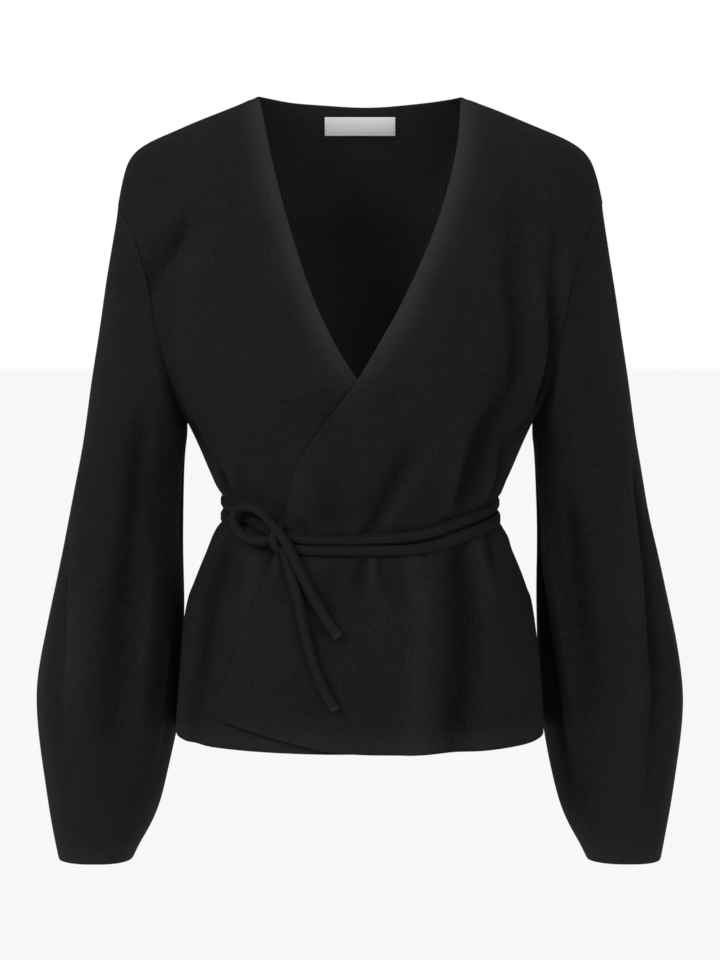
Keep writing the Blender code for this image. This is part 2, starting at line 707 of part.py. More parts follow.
def smooth_route(points, count):
    """Evenly spaced points on a smooth curve through a route's points."""
    points = np.array(points)
    ends = np.vstack([2 * points[0] - points[1], points, 2 * points[-1] - points[-2]])
    fine = []
    for a, b, c, d in zip(ends, ends[1:], ends[2:], ends[3:]):
        for t in np.linspace(0, 1, 12, endpoint=False):
            turn = (2 * a - 5 * b + 4 * c - d) * t * t + (3 * b - 3 * c + d - a) * t**3
            fine.append(0.5 * (2 * b + (c - a) * t + turn))
    fine = np.array(fine + [points[-1]])
    run = np.concatenate([[0], np.cumsum(np.linalg.norm(np.diff(fine, axis=0), axis=1))])
    places = np.linspace(0, run[-1], count)
    return np.stack([np.interp(places, run, fine[:, i]) for i in range(3)], axis=1)


def cord(name, points, radius, look):
    """A round cord along the points, with closed ends."""
    curve = bpy.data.curves.new(name, "CURVE")
    curve.dimensions = "3D"
    curve.resolution_u = 1
    curve.bevel_depth = radius
    curve.bevel_resolution = 2
    curve.use_fill_caps = True
    line = curve.splines.new("POLY")
    line.points.add(len(points) - 1)
    for knot, point in zip(line.points, points):
        knot.co = (*point, 1.0)
    return placed(name, curve, look)


def make_belt_turn(name, column, look):
    """One turn of the belt, laid round the waist on the cloth from the knot and back to it."""
    turns = np.radians(np.linspace(BELT_START, BELT_END, BELT_POINTS))
    points = []
    for turn in turns:
        degrees = (math.degrees(turn) + 180) % 360 - 180
        z = along(BELT, column, degrees)
        half, power = along(BODY, "half_width", z), along(BODY, "power", z)
        x = half * math.copysign(abs(math.sin(turn)) ** (2 / power), math.sin(turn))
        facing = -1 if math.cos(turn) > 0 else 1
        place = body(np.array(x), z, facing)
        over = over_layer(np.array(x), np.array(z)) if facing < 0 and x > COVERED_FROM else 0
        points.append(place + outward(place) * (CORD_RADIUS + CORD_CLEARANCE + over))
    return cord(name, points, CORD_RADIUS, look)


def make_knot(look):
    """The knot as a rounded form, leaning as the cord runs through it."""
    mesh = bpy.data.meshes.new("bow_knot")
    bm = bmesh.new()
    bmesh.ops.create_uvsphere(bm, u_segments=14, v_segments=9, radius=1.0)
    place = Matrix.Translation(Vector(KNOT_AT)) @ Matrix.Rotation(KNOT_TILT, 4, "Y")
    bmesh.ops.transform(bm, matrix=place @ Matrix.Diagonal((*KNOT_SIZE, 1.0)), verts=bm.verts)
    bm.to_mesh(mesh)
    bm.free()
    mesh.shade_smooth()
    return placed("bow_knot", mesh, look)


for item in list(bpy.data.objects):
    bpy.data.objects.remove(item, do_unlink=True)
GARMENT = bpy.data.collections.new("wrap_cardigan")
bpy.context.scene.collection.children.link(GARMENT)

KNIT = material("black_fine_knit", BLACK_KNIT)
CORD_KNIT = material("black_knitted_cord", BLACK_CORD)
LABEL_WOVEN = material("white_woven_label", WHITE_LABEL)

make_back(KNIT)
make_front("front_under", -1, EDGE_UNDER, under_layer, KNIT)
make_front("front_over", 1, EDGE_OVER, over_layer, KNIT)
make_sleeve("sleeve_right", -1, FOLDS_RIGHT, KNIT)
make_sleeve("sleeve_left", 1, FOLDS_LEFT, KNIT)
make_label(LABEL_WOVEN)
make_belt_turn("belt_upper", "upper", CORD_KNIT)
make_belt_turn("belt_lower", "lower", CORD_KNIT)
make_knot(CORD_KNIT)
cord("bow_loop", smooth_route(LOOP_ROUTE, 20), CORD_RADIUS, CORD_KNIT)
cord("tail_front", smooth_route(FRONT_TAIL_ROUTE, 10), TAIL_RADIUS, CORD_KNIT)
cord("tail_back", smooth_route(BACK_TAIL_ROUTE, 14), CORD_RADIUS, CORD_KNIT)
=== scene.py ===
# %% [markdown]
# # A wrap cardigan of fine black knit
#
# The cardigan hangs filled out as if it were worn: two fronts that cross at the waist, a back, two full
# sleeves, and a knitted cord tied over them in a half bow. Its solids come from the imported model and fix
# every size. This script gives each of them its cloth: finer creases, rounded edges, stitches and light.

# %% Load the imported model
import math

import bmesh
import bpy
import numpy as np
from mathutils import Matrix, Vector
from mathutils.bvhtree import BVHTree
from mathutils.kdtree import KDTree


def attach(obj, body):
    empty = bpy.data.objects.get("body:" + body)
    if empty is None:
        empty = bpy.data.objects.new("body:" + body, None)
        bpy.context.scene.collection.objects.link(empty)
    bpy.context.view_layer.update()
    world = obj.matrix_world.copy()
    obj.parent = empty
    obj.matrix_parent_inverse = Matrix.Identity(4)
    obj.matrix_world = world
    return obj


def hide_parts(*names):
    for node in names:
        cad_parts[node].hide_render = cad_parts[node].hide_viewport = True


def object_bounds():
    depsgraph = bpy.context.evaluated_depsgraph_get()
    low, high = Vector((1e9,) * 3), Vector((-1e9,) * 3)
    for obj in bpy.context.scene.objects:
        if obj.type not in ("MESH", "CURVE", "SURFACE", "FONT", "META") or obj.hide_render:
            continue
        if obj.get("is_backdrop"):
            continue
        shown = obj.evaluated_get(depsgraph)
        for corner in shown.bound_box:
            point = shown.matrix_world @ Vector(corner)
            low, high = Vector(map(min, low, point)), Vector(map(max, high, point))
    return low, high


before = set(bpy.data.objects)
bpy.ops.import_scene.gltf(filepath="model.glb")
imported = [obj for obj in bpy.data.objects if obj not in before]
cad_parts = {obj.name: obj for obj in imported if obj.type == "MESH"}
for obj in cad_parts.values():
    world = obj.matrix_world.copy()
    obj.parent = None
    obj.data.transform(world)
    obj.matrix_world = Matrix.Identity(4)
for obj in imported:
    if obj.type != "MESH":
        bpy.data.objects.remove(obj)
cad_lo, cad_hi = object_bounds()
print("nodes:", ", ".join(sorted(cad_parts)))

# %% [markdown]
# ## Camera
#
# A garment is photographed from a few metres away, so that its sides stay nearly parallel. A long lens at
# chest height, tipped a little downwards, gives the same picture. The picture is upright, so the 36 mm of
# the sensor lie along its height.

# %% Place the camera
CAMERA_AT = Vector((0.0, -2.8, -0.15))
LOOKS_AT = Vector((0.0, 0.0, -0.345))


def placed(name, data):
    """A new object in the scene."""
    made = bpy.data.objects.new(name, data)
    bpy.context.scene.collection.objects.link(made)
    return made


camera = placed("camera", bpy.data.cameras.new("camera"))
camera.data.lens = 116.7
camera.data.sensor_width = 36.0
camera.location = CAMERA_AT
camera.rotation_euler = (LOOKS_AT - CAMERA_AT).to_track_quat("-Z", "Y").to_euler()
bpy.context.scene.camera = camera
print("camera", round((LOOKS_AT - CAMERA_AT).length, 3), "m away")

# %% [markdown]
# ## Helpers for tables and soft steps
#
# Sizes stay in short tables with named columns. `fade` is a soft step, which every crease and blend uses
# at its ends, because cloth never starts to fold at a line.

# %% Tables and soft steps
MM = 0.001


def table(columns, *rows):
    """A short table with named columns, in millimetres and degrees, sorted by the first."""
    values = np.array(sorted(rows), float)
    return {name: values[:, i] for i, name in enumerate(columns.split())}


def fade(value, start, end):
    """0 before start, 1 after end, and smooth between them."""
    t = np.clip((value - start) / (end - start), 0, 1)
    return t * t * (3 - 2 * t)


print("halfway up a step:", fade(0.5, 0, 1))

# %% [markdown]
# ## Knit finishes
#
# Fine knit shows two things from a few metres: its level courses, and the small V of each stitch. Both
# are drawn from the cloth's own map, in metres, so they follow the panel and not the room. Real fine gauge
# has a stitch of 1.3 mm, which is too small for the picture, so two are drawn as one.
# Black yarn is a matte wool and viscose: it hardly mirrors, but its loose fibres catch light at the edge
# of a form, which is what sheen stands for.

# %% One function adds a node
def linear(hex_colour):
    """An sRGB hex value as linear colour with alpha."""
    parts = [int(hex_colour[i : i + 2], 16) / 255 for i in (1, 3, 5)]
    return (*[c / 12.92 if c <= 0.04045 else ((c + 0.055) / 1.055) ** 2.4 for c in parts], 1.0)


def add(tree, kind, inputs=None, **settings):
    """Adds a node, sets its settings, and fills its inputs with values or with other nodes' sockets."""
    made = tree.nodes.new("ShaderNode" + kind)
    for name, value in settings.items():
        setattr(made, name, value)
    for name, value in (inputs or {}).items():
        if isinstance(value, bpy.types.NodeSocket):
            tree.links.new(value, made.inputs[name])
        else:
            made.inputs[name].default_value = value
    return made


def maths(tree, operation, *values):
    """The result of one sum."""
    return add(tree, "Math", dict(enumerate(values)), operation=operation).outputs[0]


def finish_named(name):
    """A new material with its tree and its shader."""
    made = bpy.data.materials.new(name)
    made.use_nodes = True
    return made, made.node_tree, made.node_tree.nodes["Principled BSDF"]


# %% Fine knit, outside and inside
COURSE = 2.6 * MM  # drawn height of a course
WALE = 2.4 * MM  # drawn width of a column of stitches


def fine_knit(name, dark, light, rows_high, columns_high, edge_highlight_gain, painted_low_light_gain, sheen):
    """Knit with level courses and V stitches.

    The gains paint a highlight on its free edges and, on the inside, light lower down, where less gets in.
    """
    made, tree, shader = finish_named(name)
    flat = add(tree, "UVMap", uv_map="cloth")
    place = add(tree, "TexCoord").outputs["Object"]
    split = add(tree, "SeparateXYZ", {0: flat.outputs[0]})
    uneven = add(tree, "TexNoise", {"Vector": place, "Scale": 45.0, "Detail": 2.0})
    wander = maths(tree, "MULTIPLY_ADD", uneven.outputs["Fac"], 0.9 * MM, split.outputs[1])
    column = maths(tree, "DIVIDE", split.outputs[0], WALE)
    from_middle = maths(tree, "PINGPONG", column, 0.5)
    course = maths(tree, "DIVIDE", wander, COURSE)
    vee = maths(tree, "MULTIPLY_ADD", from_middle, 0.7, course)
    row_wave = maths(tree, "SINE", maths(tree, "MULTIPLY", vee, 2 * math.pi))
    column_wave = maths(tree, "COSINE", maths(tree, "MULTIPLY", column, 2 * math.pi))
    fuzz = add(tree, "TexNoise", {"Vector": place, "Scale": 900.0, "Detail": 3.0, "Roughness": 0.7})
    rows = maths(tree, "MULTIPLY", row_wave, rows_high)
    height = maths(tree, "MULTIPLY_ADD", column_wave, columns_high, rows)
    height = maths(tree, "MULTIPLY_ADD", fuzz.outputs["Fac"], 0.9, height)
    seam = add(tree, "Attribute", attribute_name="seam").outputs["Fac"]
    height = maths(tree, "MULTIPLY_ADD", seam, -1.6, height)
    bump = add(tree, "Bump", {"Strength": 0.65, "Distance": 0.4 * MM, "Height": height})
    patchy = add(tree, "TexNoise", {"Vector": place, "Scale": 14.0, "Detail": 4.0, "Roughness": 0.6})
    bloom = add(tree, "TexNoise", {"Vector": place, "Scale": 260.0, "Detail": 3.0, "Roughness": 0.65})
    # the grooves of the courses and columns are drawn darker, as painted shade; the noises are the yarn's own
    # uneven tone
    tone_and_painted_light = maths(tree, "MULTIPLY_ADD", row_wave, 0.2 * rows_high, patchy.outputs["Fac"])
    tone_and_painted_light = maths(tree, "MULTIPLY_ADD", column_wave, 0.5 * columns_high, tone_and_painted_light)
    tone_and_painted_light = maths(tree, "MULTIPLY_ADD", fuzz.outputs["Fac"], 1.1, maths(tree, "SUBTRACT", tone_and_painted_light, 1.35))
    tone_and_painted_light = maths(tree, "MULTIPLY_ADD", bloom.outputs["Fac"], 1.6, tone_and_painted_light)
    # painted highlight along the free edges: neck and hem
    painted_edge_highlight = add(tree, "Attribute", attribute_name="painted_edge_highlight").outputs["Fac"]
    tone_and_painted_light = maths(tree, "MULTIPLY_ADD", painted_edge_highlight, edge_highlight_gain, tone_and_painted_light)
    # painted shading: shade in the creases' troughs, highlights on their ridges, lighter cuffs
    painted_shading = add(tree, "Attribute", attribute_name="painted_shading").outputs["Fac"]
    tone_and_painted_light = maths(tree, "MULTIPLY_ADD", painted_shading, 0.6, tone_and_painted_light)
    # painted light: the inside is drawn lighter the lower it lies, where less light gets in
    height_in_room = add(tree, "SeparateXYZ", {0: place}).outputs[2]
    painted_light_lower_down = add(tree, "MapRange", {"Value": height_in_room, 1: -0.12, 2: -0.30})
    tone_and_painted_light = maths(tree, "MULTIPLY_ADD", painted_light_lower_down.outputs[0], painted_low_light_gain, tone_and_painted_light)
    tone_and_painted_light = maths(tree, "MAXIMUM", maths(tree, "MULTIPLY_ADD", seam, -0.5, tone_and_painted_light), -0.75)
    colours = {"Factor": tone_and_painted_light, 6: linear(dark), 7: linear(light)}
    base = add(tree, "Mix", colours, data_type="RGBA", clamp_factor=False)
    lint = add(tree, "TexVoronoi", {"Vector": place, "Scale": 70.0})
    here = add(tree, "TexNoise", {"Vector": place, "Scale": 9.0, "Detail": 1.0})
    speck = maths(tree, "LESS_THAN", lint.outputs["Distance"], 0.045)
    speck = maths(tree, "MULTIPLY", speck, maths(tree, "GREATER_THAN", here.outputs["Fac"], 0.60))
    flecked = {"Factor": speck, 6: base.outputs[2], 7: linear("#2c2c2c")}
    base_with_lint = add(tree, "Mix", flecked, data_type="RGBA")
    tree.links.new(base_with_lint.outputs[2], shader.inputs["Base Color"])
    tree.links.new(bump.outputs[0], shader.inputs["Normal"])
    shader.inputs["Roughness"].default_value = 0.92
    shader.inputs["Specular IOR Level"].default_value = 0.08
    shader.inputs["Sheen Weight"].default_value = sheen
    shader.inputs["Sheen Roughness"].default_value = 0.55
    shader.inputs["Sheen Tint"].default_value = linear("#8c8c8c")
    return made


KNIT_OUTSIDE = fine_knit("black_fine_knit_outside", "#101010", "#1a1a1a", 0.55, 0.22, 2.5, 0.0, 0.035)
# the inside's colours are painted lighter than the outside's, for the light that hardly gets inside
KNIT_INSIDE = fine_knit("black_fine_knit_inside", "#1e1e1e", "#292929", 0.14, 0.30, 0.3, 2.8, 0.02)
print("knit finishes:", KNIT_OUTSIDE.name, KNIT_INSIDE.name)

# %% Knitted cord
# Tubular knit of the same yarn, worked thicker. Its stitches are real relief in the mesh, so the finish
# only paints shade into the grooves between them and a highlight on a cut end, and adds the yarn's own fuzz.
CORD_KNIT, cord_tree, cord_shader = finish_named("black_tubular_knit_cord")
painted_groove_shade_and_end_highlight = add(cord_tree, "Attribute", attribute_name="painted_groove_shade_and_end_highlight").outputs["Fac"]
cord_place = add(cord_tree, "TexCoord").outputs["Object"]
cord_fuzz = add(cord_tree, "TexNoise", {"Vector": cord_place, "Scale": 1300.0, "Detail": 3.0})
cord_lit = maths(cord_tree, "MULTIPLY_ADD", painted_groove_shade_and_end_highlight, 0.9, -0.22)
cord_shade = maths(cord_tree, "MULTIPLY_ADD", cord_fuzz.outputs["Fac"], 0.5, cord_lit)
cord_colours = {"Factor": cord_shade, 6: linear("#070707"), 7: linear("#1d1d1d")}
cord_base = add(cord_tree, "Mix", cord_colours, data_type="RGBA", clamp_factor=False)
cord_bump = add(cord_tree, "Bump", {"Strength": 0.5, "Distance": 0.2 * MM, "Height": cord_fuzz.outputs["Fac"]})
cord_tree.links.new(cord_base.outputs[2], cord_shader.inputs["Base Color"])
cord_tree.links.new(cord_bump.outputs[0], cord_shader.inputs["Normal"])
cord_shader.inputs["Roughness"].default_value = 0.9
cord_shader.inputs["Specular IOR Level"].default_value = 0.1
cord_shader.inputs["Sheen Weight"].default_value = 0.03
cord_shader.inputs["Sheen Tint"].default_value = linear("#8c8c8c")
print("cord finish:", CORD_KNIT.name)

# %% Woven label
# Satin woven tape: smooth and a clean white, with the faint ribs of its weft across it.
RIB = 1.1 * MM  # a real weft is finer than 0.3 mm, too small to see from here
LABEL_SATIN, label_tree, label_shader = finish_named("white_woven_satin")
label_place = add(label_tree, "TexCoord").outputs["Object"]
label_split = add(label_tree, "SeparateXYZ", {0: label_place})
label_wave = maths(label_tree, "MULTIPLY", label_split.outputs[2], 2 * math.pi / RIB)
label_ribs = maths(label_tree, "SINE", label_wave)
label_noise = add(label_tree, "TexNoise", {"Vector": label_place, "Scale": 120.0, "Detail": 3.0})
label_height = maths(label_tree, "MULTIPLY_ADD", label_noise.outputs["Fac"], 1.2, label_ribs)
label_bump = add(label_tree, "Bump", {"Strength": 0.3, "Distance": 0.1 * MM, "Height": label_height})
label_colours = {"Factor": label_noise.outputs["Fac"], 6: linear("#efefee"), 7: linear("#f8f8f7")}
label_base = add(label_tree, "Mix", label_colours, data_type="RGBA")
label_tree.links.new(label_base.outputs[2], label_shader.inputs["Base Color"])
label_tree.links.new(label_bump.outputs[0], label_shader.inputs["Normal"])
label_shader.inputs["Roughness"].default_value = 0.5
label_shader.inputs["Specular IOR Level"].default_value = 0.3
print("label finish:", LABEL_SATIN.name)

# %% [markdown]
# ## Knitted cord
#
# The cord is a narrow tube knitted in the round, about 8 mm thick, with columns of V stitches along it.
# A curve with a round bevel gives the tube but no stitches, so a flat grid is rolled into a tube instead:
# one side of the grid runs along the route and the other round it, as the stitches do. Each point is then
# lifted by the height of its stitch.

# %% A smooth line through a route
STITCH_LONG = 3.1 * MM  # along the cord, drawn a little coarser than the real 2.5 mm
CORD_COLUMNS = 4  # columns of stitches round the cord
RELIEF = 0.5 * MM  # how far a stitch stands out of the groove beside it


def smooth_line(route, step):
    """Points a step apart on a smooth curve through a route's points."""
    points = np.array(route, float)
    ends = np.vstack([2 * points[0] - points[1], points, 2 * points[-1] - points[-2]])
    fine = []
    for a, b, c, d in zip(ends, ends[1:], ends[2:], ends[3:]):
        for t in np.linspace(0, 1, 12, endpoint=False):
            turn = (2 * a - 5 * b + 4 * c - d) * t * t + (3 * b - 3 * c + d - a) * t**3
            fine.append(0.5 * (2 * b + (c - a) * t + turn))
    fine = np.array(fine + [points[-1]])
    run = np.concatenate([[0], np.cumsum(np.linalg.norm(np.diff(fine, axis=0), axis=1))])
    places = np.linspace(0, run[-1], max(2, round(run[-1] / step) + 1))
    return np.stack([np.interp(places, run, fine[:, i]) for i in range(3)], axis=1)


def stitch_height(around, along):
    """Height of a V stitch, 0 to 1, at a share of the way round the cord and a distance along it."""
    column = around * CORD_COLUMNS
    from_middle = np.abs(column - np.floor(column) - 0.5) * 2
    leg = 0.5 + 0.5 * np.cos(2 * np.pi * (along / STITCH_LONG + 0.42 * from_middle))
    between = 1 - np.exp(-((1 - from_middle) / 0.22) ** 2)
    centre = 1 - 0.45 * np.exp(-((from_middle / 0.18) ** 2))
    return (0.35 + 0.65 * leg) * between * centre


# %% Roll a grid into a cord along a route
MIDDLE_Y = 4 * MM  # how far the body's middle line lies behind the high shoulder points
HALF_WIDE = 150 * MM  # the body's half width and half depth, roughly
HALF_DEEP = 100 * MM


def away_from_body(line):
    """The level direction away from the garment's middle."""
    out = (line - (0, MIDDLE_Y, 0)) / (HALF_WIDE**2, HALF_DEEP**2, 1) * (1, 1, 0)
    return out / np.linalg.norm(out, axis=1, keepdims=True)


def knitted_cord(name, route, wide, thick, far_end="plain", counts_back=False, sides=36, step=0.7 * MM):
    """A cord of knit along a route.

    wide lists its widths along it in millimetres. A cut end is a little round, with a painted highlight on
    it. counts_back counts the stitches from the far end, so that the next cord carries them on.
    """
    line = smooth_line(route, step)
    tangent = np.gradient(line, axis=0)
    tangent /= np.linalg.norm(tangent, axis=1, keepdims=True)
    out = away_from_body(line)
    out -= tangent * (out * tangent).sum(axis=1, keepdims=True)
    out /= np.linalg.norm(out, axis=1, keepdims=True)
    across = np.cross(tangent, out)
    bm = bmesh.new()
    bmesh.ops.create_grid(bm, x_segments=len(line) - 1, y_segments=sides, size=0.5)
    grid = np.array([v.co[:2] for v in bm.verts]) + 0.5
    place = np.clip(np.rint(grid[:, 0] * (len(line) - 1)).astype(int), 0, len(line) - 1)
    run = np.concatenate([[0], np.cumsum(np.linalg.norm(np.diff(line, axis=0), axis=1))])
    lifted = stitch_height(grid[:, 1] + 0.5 / CORD_COLUMNS, run[place] - (run[-1] if counts_back else 0))
    angle = 2 * np.pi * grid[:, 1]
    half = np.interp(run / run[-1], np.linspace(0, 1, len(wide)), wide)[place] * MM / 2
    grown = (lifted - 0.5) * RELIEF
    kept, lit = np.ones(len(grid)), lifted.copy()
    if far_end == "cut":
        away = run[-1] - run[place]
        kept *= 1 - 0.45 * np.exp(-((away / (0.8 * MM)) ** 2))
        # a painted highlight on the cut end
        lit += 1.5 * np.exp(-((away / (2.4 * MM)) ** 2))
    # a little squarer than an oval, as a cord that lies on cloth is
    sine, cosine = (np.sign(v) * np.abs(v) ** 0.8 for v in (np.sin(angle), np.cos(angle)))
    moved = (
        line[place]
        + across[place] * ((half + grown) * kept * sine)[:, None]
        + out[place] * ((thick * MM / 2 + grown) * kept * cosine)[:, None]
    )
    for v, co in zip(bm.verts, moved):
        v.co = co
    # painted light for the finish: shade in the grooves between stitches, a highlight on a cut end
    height = bm.verts.layers.float.new("painted_groove_shade_and_end_highlight")
    for v, value in zip(bm.verts, lit):
        v[height] = value
    bmesh.ops.remove_doubles(bm, verts=bm.verts, dist=1e-6)
    rims = [e for e in bm.edges if e.is_boundary]
    bmesh.ops.holes_fill(bm, edges=rims, sides=0)
    bmesh.ops.recalc_face_normals(bm, faces=bm.faces)
    mesh = bpy.data.meshes.new(name)
    bm.to_mesh(mesh)
    bm.free()
    mesh.shade_smooth()
    mesh.materials.append(CORD_KNIT)
    cord = placed(name, mesh)
    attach(cord, "root")
    print(name, round(run[-1] / MM), "mm long,", len(mesh.polygons), "faces")
    return cord, line


# %% [markdown]
# ## The two free ends
#
# Both ends hang from the knot on the wearer's right and end cut square. The front one is the wider, the
# back one the longer. They come before the cloth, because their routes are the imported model's own.

# %% Hang the free ends
FRONT_TAIL_ROUTE = (
    (-0.0790, -0.0782, -0.3765),
    (-0.0719, -0.0813, -0.3850),
    (-0.0655, -0.0880, -0.3927),
    (-0.0598, -0.0904, -0.4035),
    (-0.0545, -0.0949, -0.4140),
    (-0.0488, -0.0981, -0.4256),
    (-0.0428, -0.1012, -0.4372),
    (-0.0358, -0.1032, -0.4490),
    (-0.0290, -0.1055, -0.4606),
    (-0.0220, -0.1084, -0.4703),
    (-0.0187, -0.1095, -0.4747),
)
BACK_TAIL_ROUTE = (
    (-0.0671, -0.0831, -0.3990),
    (-0.0644, -0.0875, -0.4091),
    (-0.0602, -0.0952, -0.4233),
    (-0.0567, -0.0995, -0.4334),
    (-0.0536, -0.1031, -0.4449),
    (-0.0513, -0.1055, -0.4567),
    (-0.0486, -0.1073, -0.4684),
    (-0.0456, -0.1089, -0.4801),
    (-0.0417, -0.1110, -0.4938),
    (-0.0367, -0.1132, -0.5074),
    (-0.0309, -0.1151, -0.5211),
    (-0.0249, -0.1164, -0.5319),
    (-0.0213, -0.1170, -0.5376),
)
for name, node, route, widths, thick, width in (
    ("free_end_front", "tail_front", FRONT_TAIL_ROUTE, (7.8, 9.0, 9.6, 9.8), 6.8, 9.6 * MM),
    ("free_end_back", "tail_back", BACK_TAIL_ROUTE, (7.4, 8.2, 8.4, 8.6), 6.2, 8.2 * MM),
):
    tail, line = knitted_cord(name, route, widths, thick, far_end="cut")
    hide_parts(node)

# %% [markdown]
# ## Cloth panels
#
# Each panel is knitted to shape and linked to its neighbours. The imported solid already has its form as a
# wall 2 mm thick, so the panel starts as a copy of it: merged, its triangles joined back to four-sided
# faces, its free edges bevelled, and then subdivided, which turns the flats into a smooth sheet of cloth.
# Sculpting in cloth simulation would lose the fixed size, so the creases are placed one by one afterwards.

# %% Read a panel and ready it for subdivision
SLEEVE_AXIS = table(
    "z x y",
    (-694, 241.7, 20),
    (-640, 233.6, 30),
    (-540, 229.5, 40),
    (-430, 217.0, 27),
    (-350, 206.0, 14),
    (-195, 186.0, 4),
)


def sleeve_middle(points, side):
    """The nearest point of a sleeve's middle line, level with each point."""
    z = points[:, 2] / MM
    x = np.interp(z, SLEEVE_AXIS["z"], SLEEVE_AXIS["x"]) * MM * side
    y = np.interp(z, SLEEVE_AXIS["z"], SLEEVE_AXIS["y"]) * MM
    return np.stack([x, y, np.clip(points[:, 2], -1, -0.195)], axis=1)


def outwards(points, side):
    """The direction away from the body's middle, or from the sleeve's for side -1 or 1."""
    if side:
        out = points - sleeve_middle(points, side)
    else:
        up = np.clip((points[:, 2] + 0.10) / 0.10, 0, 1) * 6  # sloping shoulders lift their cloth upwards too
        out = np.stack([points[:, 0] / HALF_WIDE**2, (points[:, 1] - MIDDLE_Y) / HALF_DEEP**2, up], axis=1)
    return out / np.linalg.norm(out, axis=1, keepdims=True)


def joined_copy(node):
    """The node's mesh, merged, with four-sided faces again."""
    bm = bmesh.new()
    bm.from_mesh(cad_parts[node].data)
    bmesh.ops.remove_doubles(bm, verts=bm.verts, dist=2e-5)
    bmesh.ops.join_triangles(
        bm, faces=bm.faces, angle_face_threshold=math.radians(45), angle_shape_threshold=math.radians(150)
    )
    three = sum(len(f.verts) == 3 for f in bm.faces)
    print(node, len(bm.faces), "faces,", three, "of them triangles")
    return bm


PANELS = {
    "back": 0,
    "front_under": 0,
    "front_over": 0,
    "sleeve_right": -1,
    "sleeve_left": 1,
}
coarse = {node: joined_copy(node) for node in PANELS}

# %% [markdown]
# Where two panels are linked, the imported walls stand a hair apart. The cloth ones are drawn together there,
# so that a seam is a fine line and not a slit. What stays open is a free edge: neck, hem and cuffs.

# %% Draw the seams together
WALL = 2.0 * MM
REACH = 0.8 * MM  # points of two panels nearer than this belong to one seam
SHOULDER_END_Z = -96.5 * MM  # where the shoulder seam meets the sleeve
SHOULDER_SHIFT = 0.2 * MM  # takes a shoulder point with no partner in reach to the seam
FACES_OF_BODY = {"back": 1, "front_under": -1, "front_over": -1}  # 1 behind the shoulder seam, -1 in front


def rim_edges(bm):
    """Edges between a wall and its rim; only a rim's faces have two edges as long as the wall is thick."""
    rim = {f: sum(abs(e.calc_length() - WALL) < 0.06 * MM for e in f.edges) > 1 for f in bm.faces}
    pairs = [(e, e.link_faces) for e in bm.edges if len(e.link_faces) == 2]
    return [e for e, (a, b) in pairs if rim[a] != rim[b]]


for bm in coarse.values():
    bm.verts.ensure_lookup_table()
    bm.verts.index_update()
owners = []
for node, bm in coarse.items():
    owners += [(node, i) for i in sorted({v.index for e in rim_edges(bm) for v in e.verts})]
places = [coarse[node].verts[i].co.copy() for node, i in owners]
near = KDTree(len(owners))
for k, place in enumerate(places):
    near.insert(place, k)
near.balance()
seamed = {node: set() for node in PANELS}
corner = {node: set() for node in PANELS}
for k, (node, i) in enumerate(owners):
    close = [j for _, j, _ in near.find_range(places[k], REACH) if owners[j][0] != node]
    if close:
        seamed[node].add(i)
        if len({owners[j][0] for j in close}) > 1:
            corner[node].add(i)
        coarse[node].verts[i].co = sum((places[j] for j in close), places[k].copy()) / (len(close) + 1)
    elif node in FACES_OF_BODY and places[k].z > SHOULDER_END_Z and abs(places[k].y - MIDDLE_Y) < 1.5 * MM:
        seamed[node].add(i)
        coarse[node].verts[i].co.y -= FACES_OF_BODY[node] * SHOULDER_SHIFT
print("seam points:", {node: len(found) for node, found in seamed.items()})
print("where three panels meet:", {node: len(found) for node, found in corner.items()})

# %% Bevel the free edges and subdivide
LEVELS = 3
EDGE_ROUND = 0.75 * MM


def smooth_panel(node):
    """The panel's bmesh with rounded free edges and sharp seams, as a subdivided mesh."""
    bm = coarse[node]
    side = PANELS[node]
    rim = bm.verts.layers.float.new("rim")
    free = bm.verts.layers.float.new("free")
    pointed = bm.verts.layers.float.get("crease_vert") or bm.verts.layers.float.new("crease_vert")
    bm.verts.ensure_lookup_table()
    for i in corner[node]:
        bm.verts[i][pointed] = 1.0
    for e in rim_edges(bm):
        for v in e.verts:
            v[rim if v.index in seamed[node] else free] = 1.0
    open_edges = [e for e in rim_edges(bm) if not all(v.index in seamed[node] for v in e.verts)]
    bmesh.ops.bevel(
        bm,
        geom=open_edges,
        offset=EDGE_ROUND,
        segments=1,
        profile=0.5,
        affect="EDGES",
        material=-1,
        clamp_overlap=True,
    )
    bm.normal_update()
    sharp = bm.edges.layers.float.get("crease_edge") or bm.edges.layers.float.new("crease_edge")
    for e in rim_edges(bm):
        if all(v[rim] > 0.99 for v in e.verts):
            e[sharp] = 1.0
    print(node, sum(e[sharp] > 0 for e in bm.edges), "seam edges kept sharp")
    centres = np.array([f.calc_center_median() for f in bm.faces])
    facing = np.array([f.normal for f in bm.faces])
    inner = (outwards(centres, side) * facing).sum(axis=1) < 0
    for f, inside in zip(bm.faces, inner):
        f.material_index = int(inside)
        f.smooth = True
    mesh = bpy.data.meshes.new(node + "_cloth")
    bm.to_mesh(mesh)
    bm.free()
    made = placed(node + "_cloth", mesh)
    mesh.materials.append(KNIT_OUTSIDE)
    mesh.materials.append(KNIT_INSIDE)
    smooth = made.modifiers.new("smooth", "SUBSURF")
    smooth.levels = smooth.render_levels = LEVELS
    bpy.context.view_layer.objects.active = made
    bpy.ops.object.modifier_apply(modifier="smooth")
    print(made.name, len(made.data.polygons), "faces")
    return made


cloth = {node: smooth_panel(node) for node in PANELS}

# %% [markdown]
# ## Creases
#
# Creases are where a garment looks worn or not. Each is a soft ridge or trough along a line, steeper on
# one side than on the other, that rises and dies away. On the body they run from the belt, which gathers
# the cloth; on the sleeves they hang along the arm. Width is measured round the body, so a crease near
# the side keeps its size.

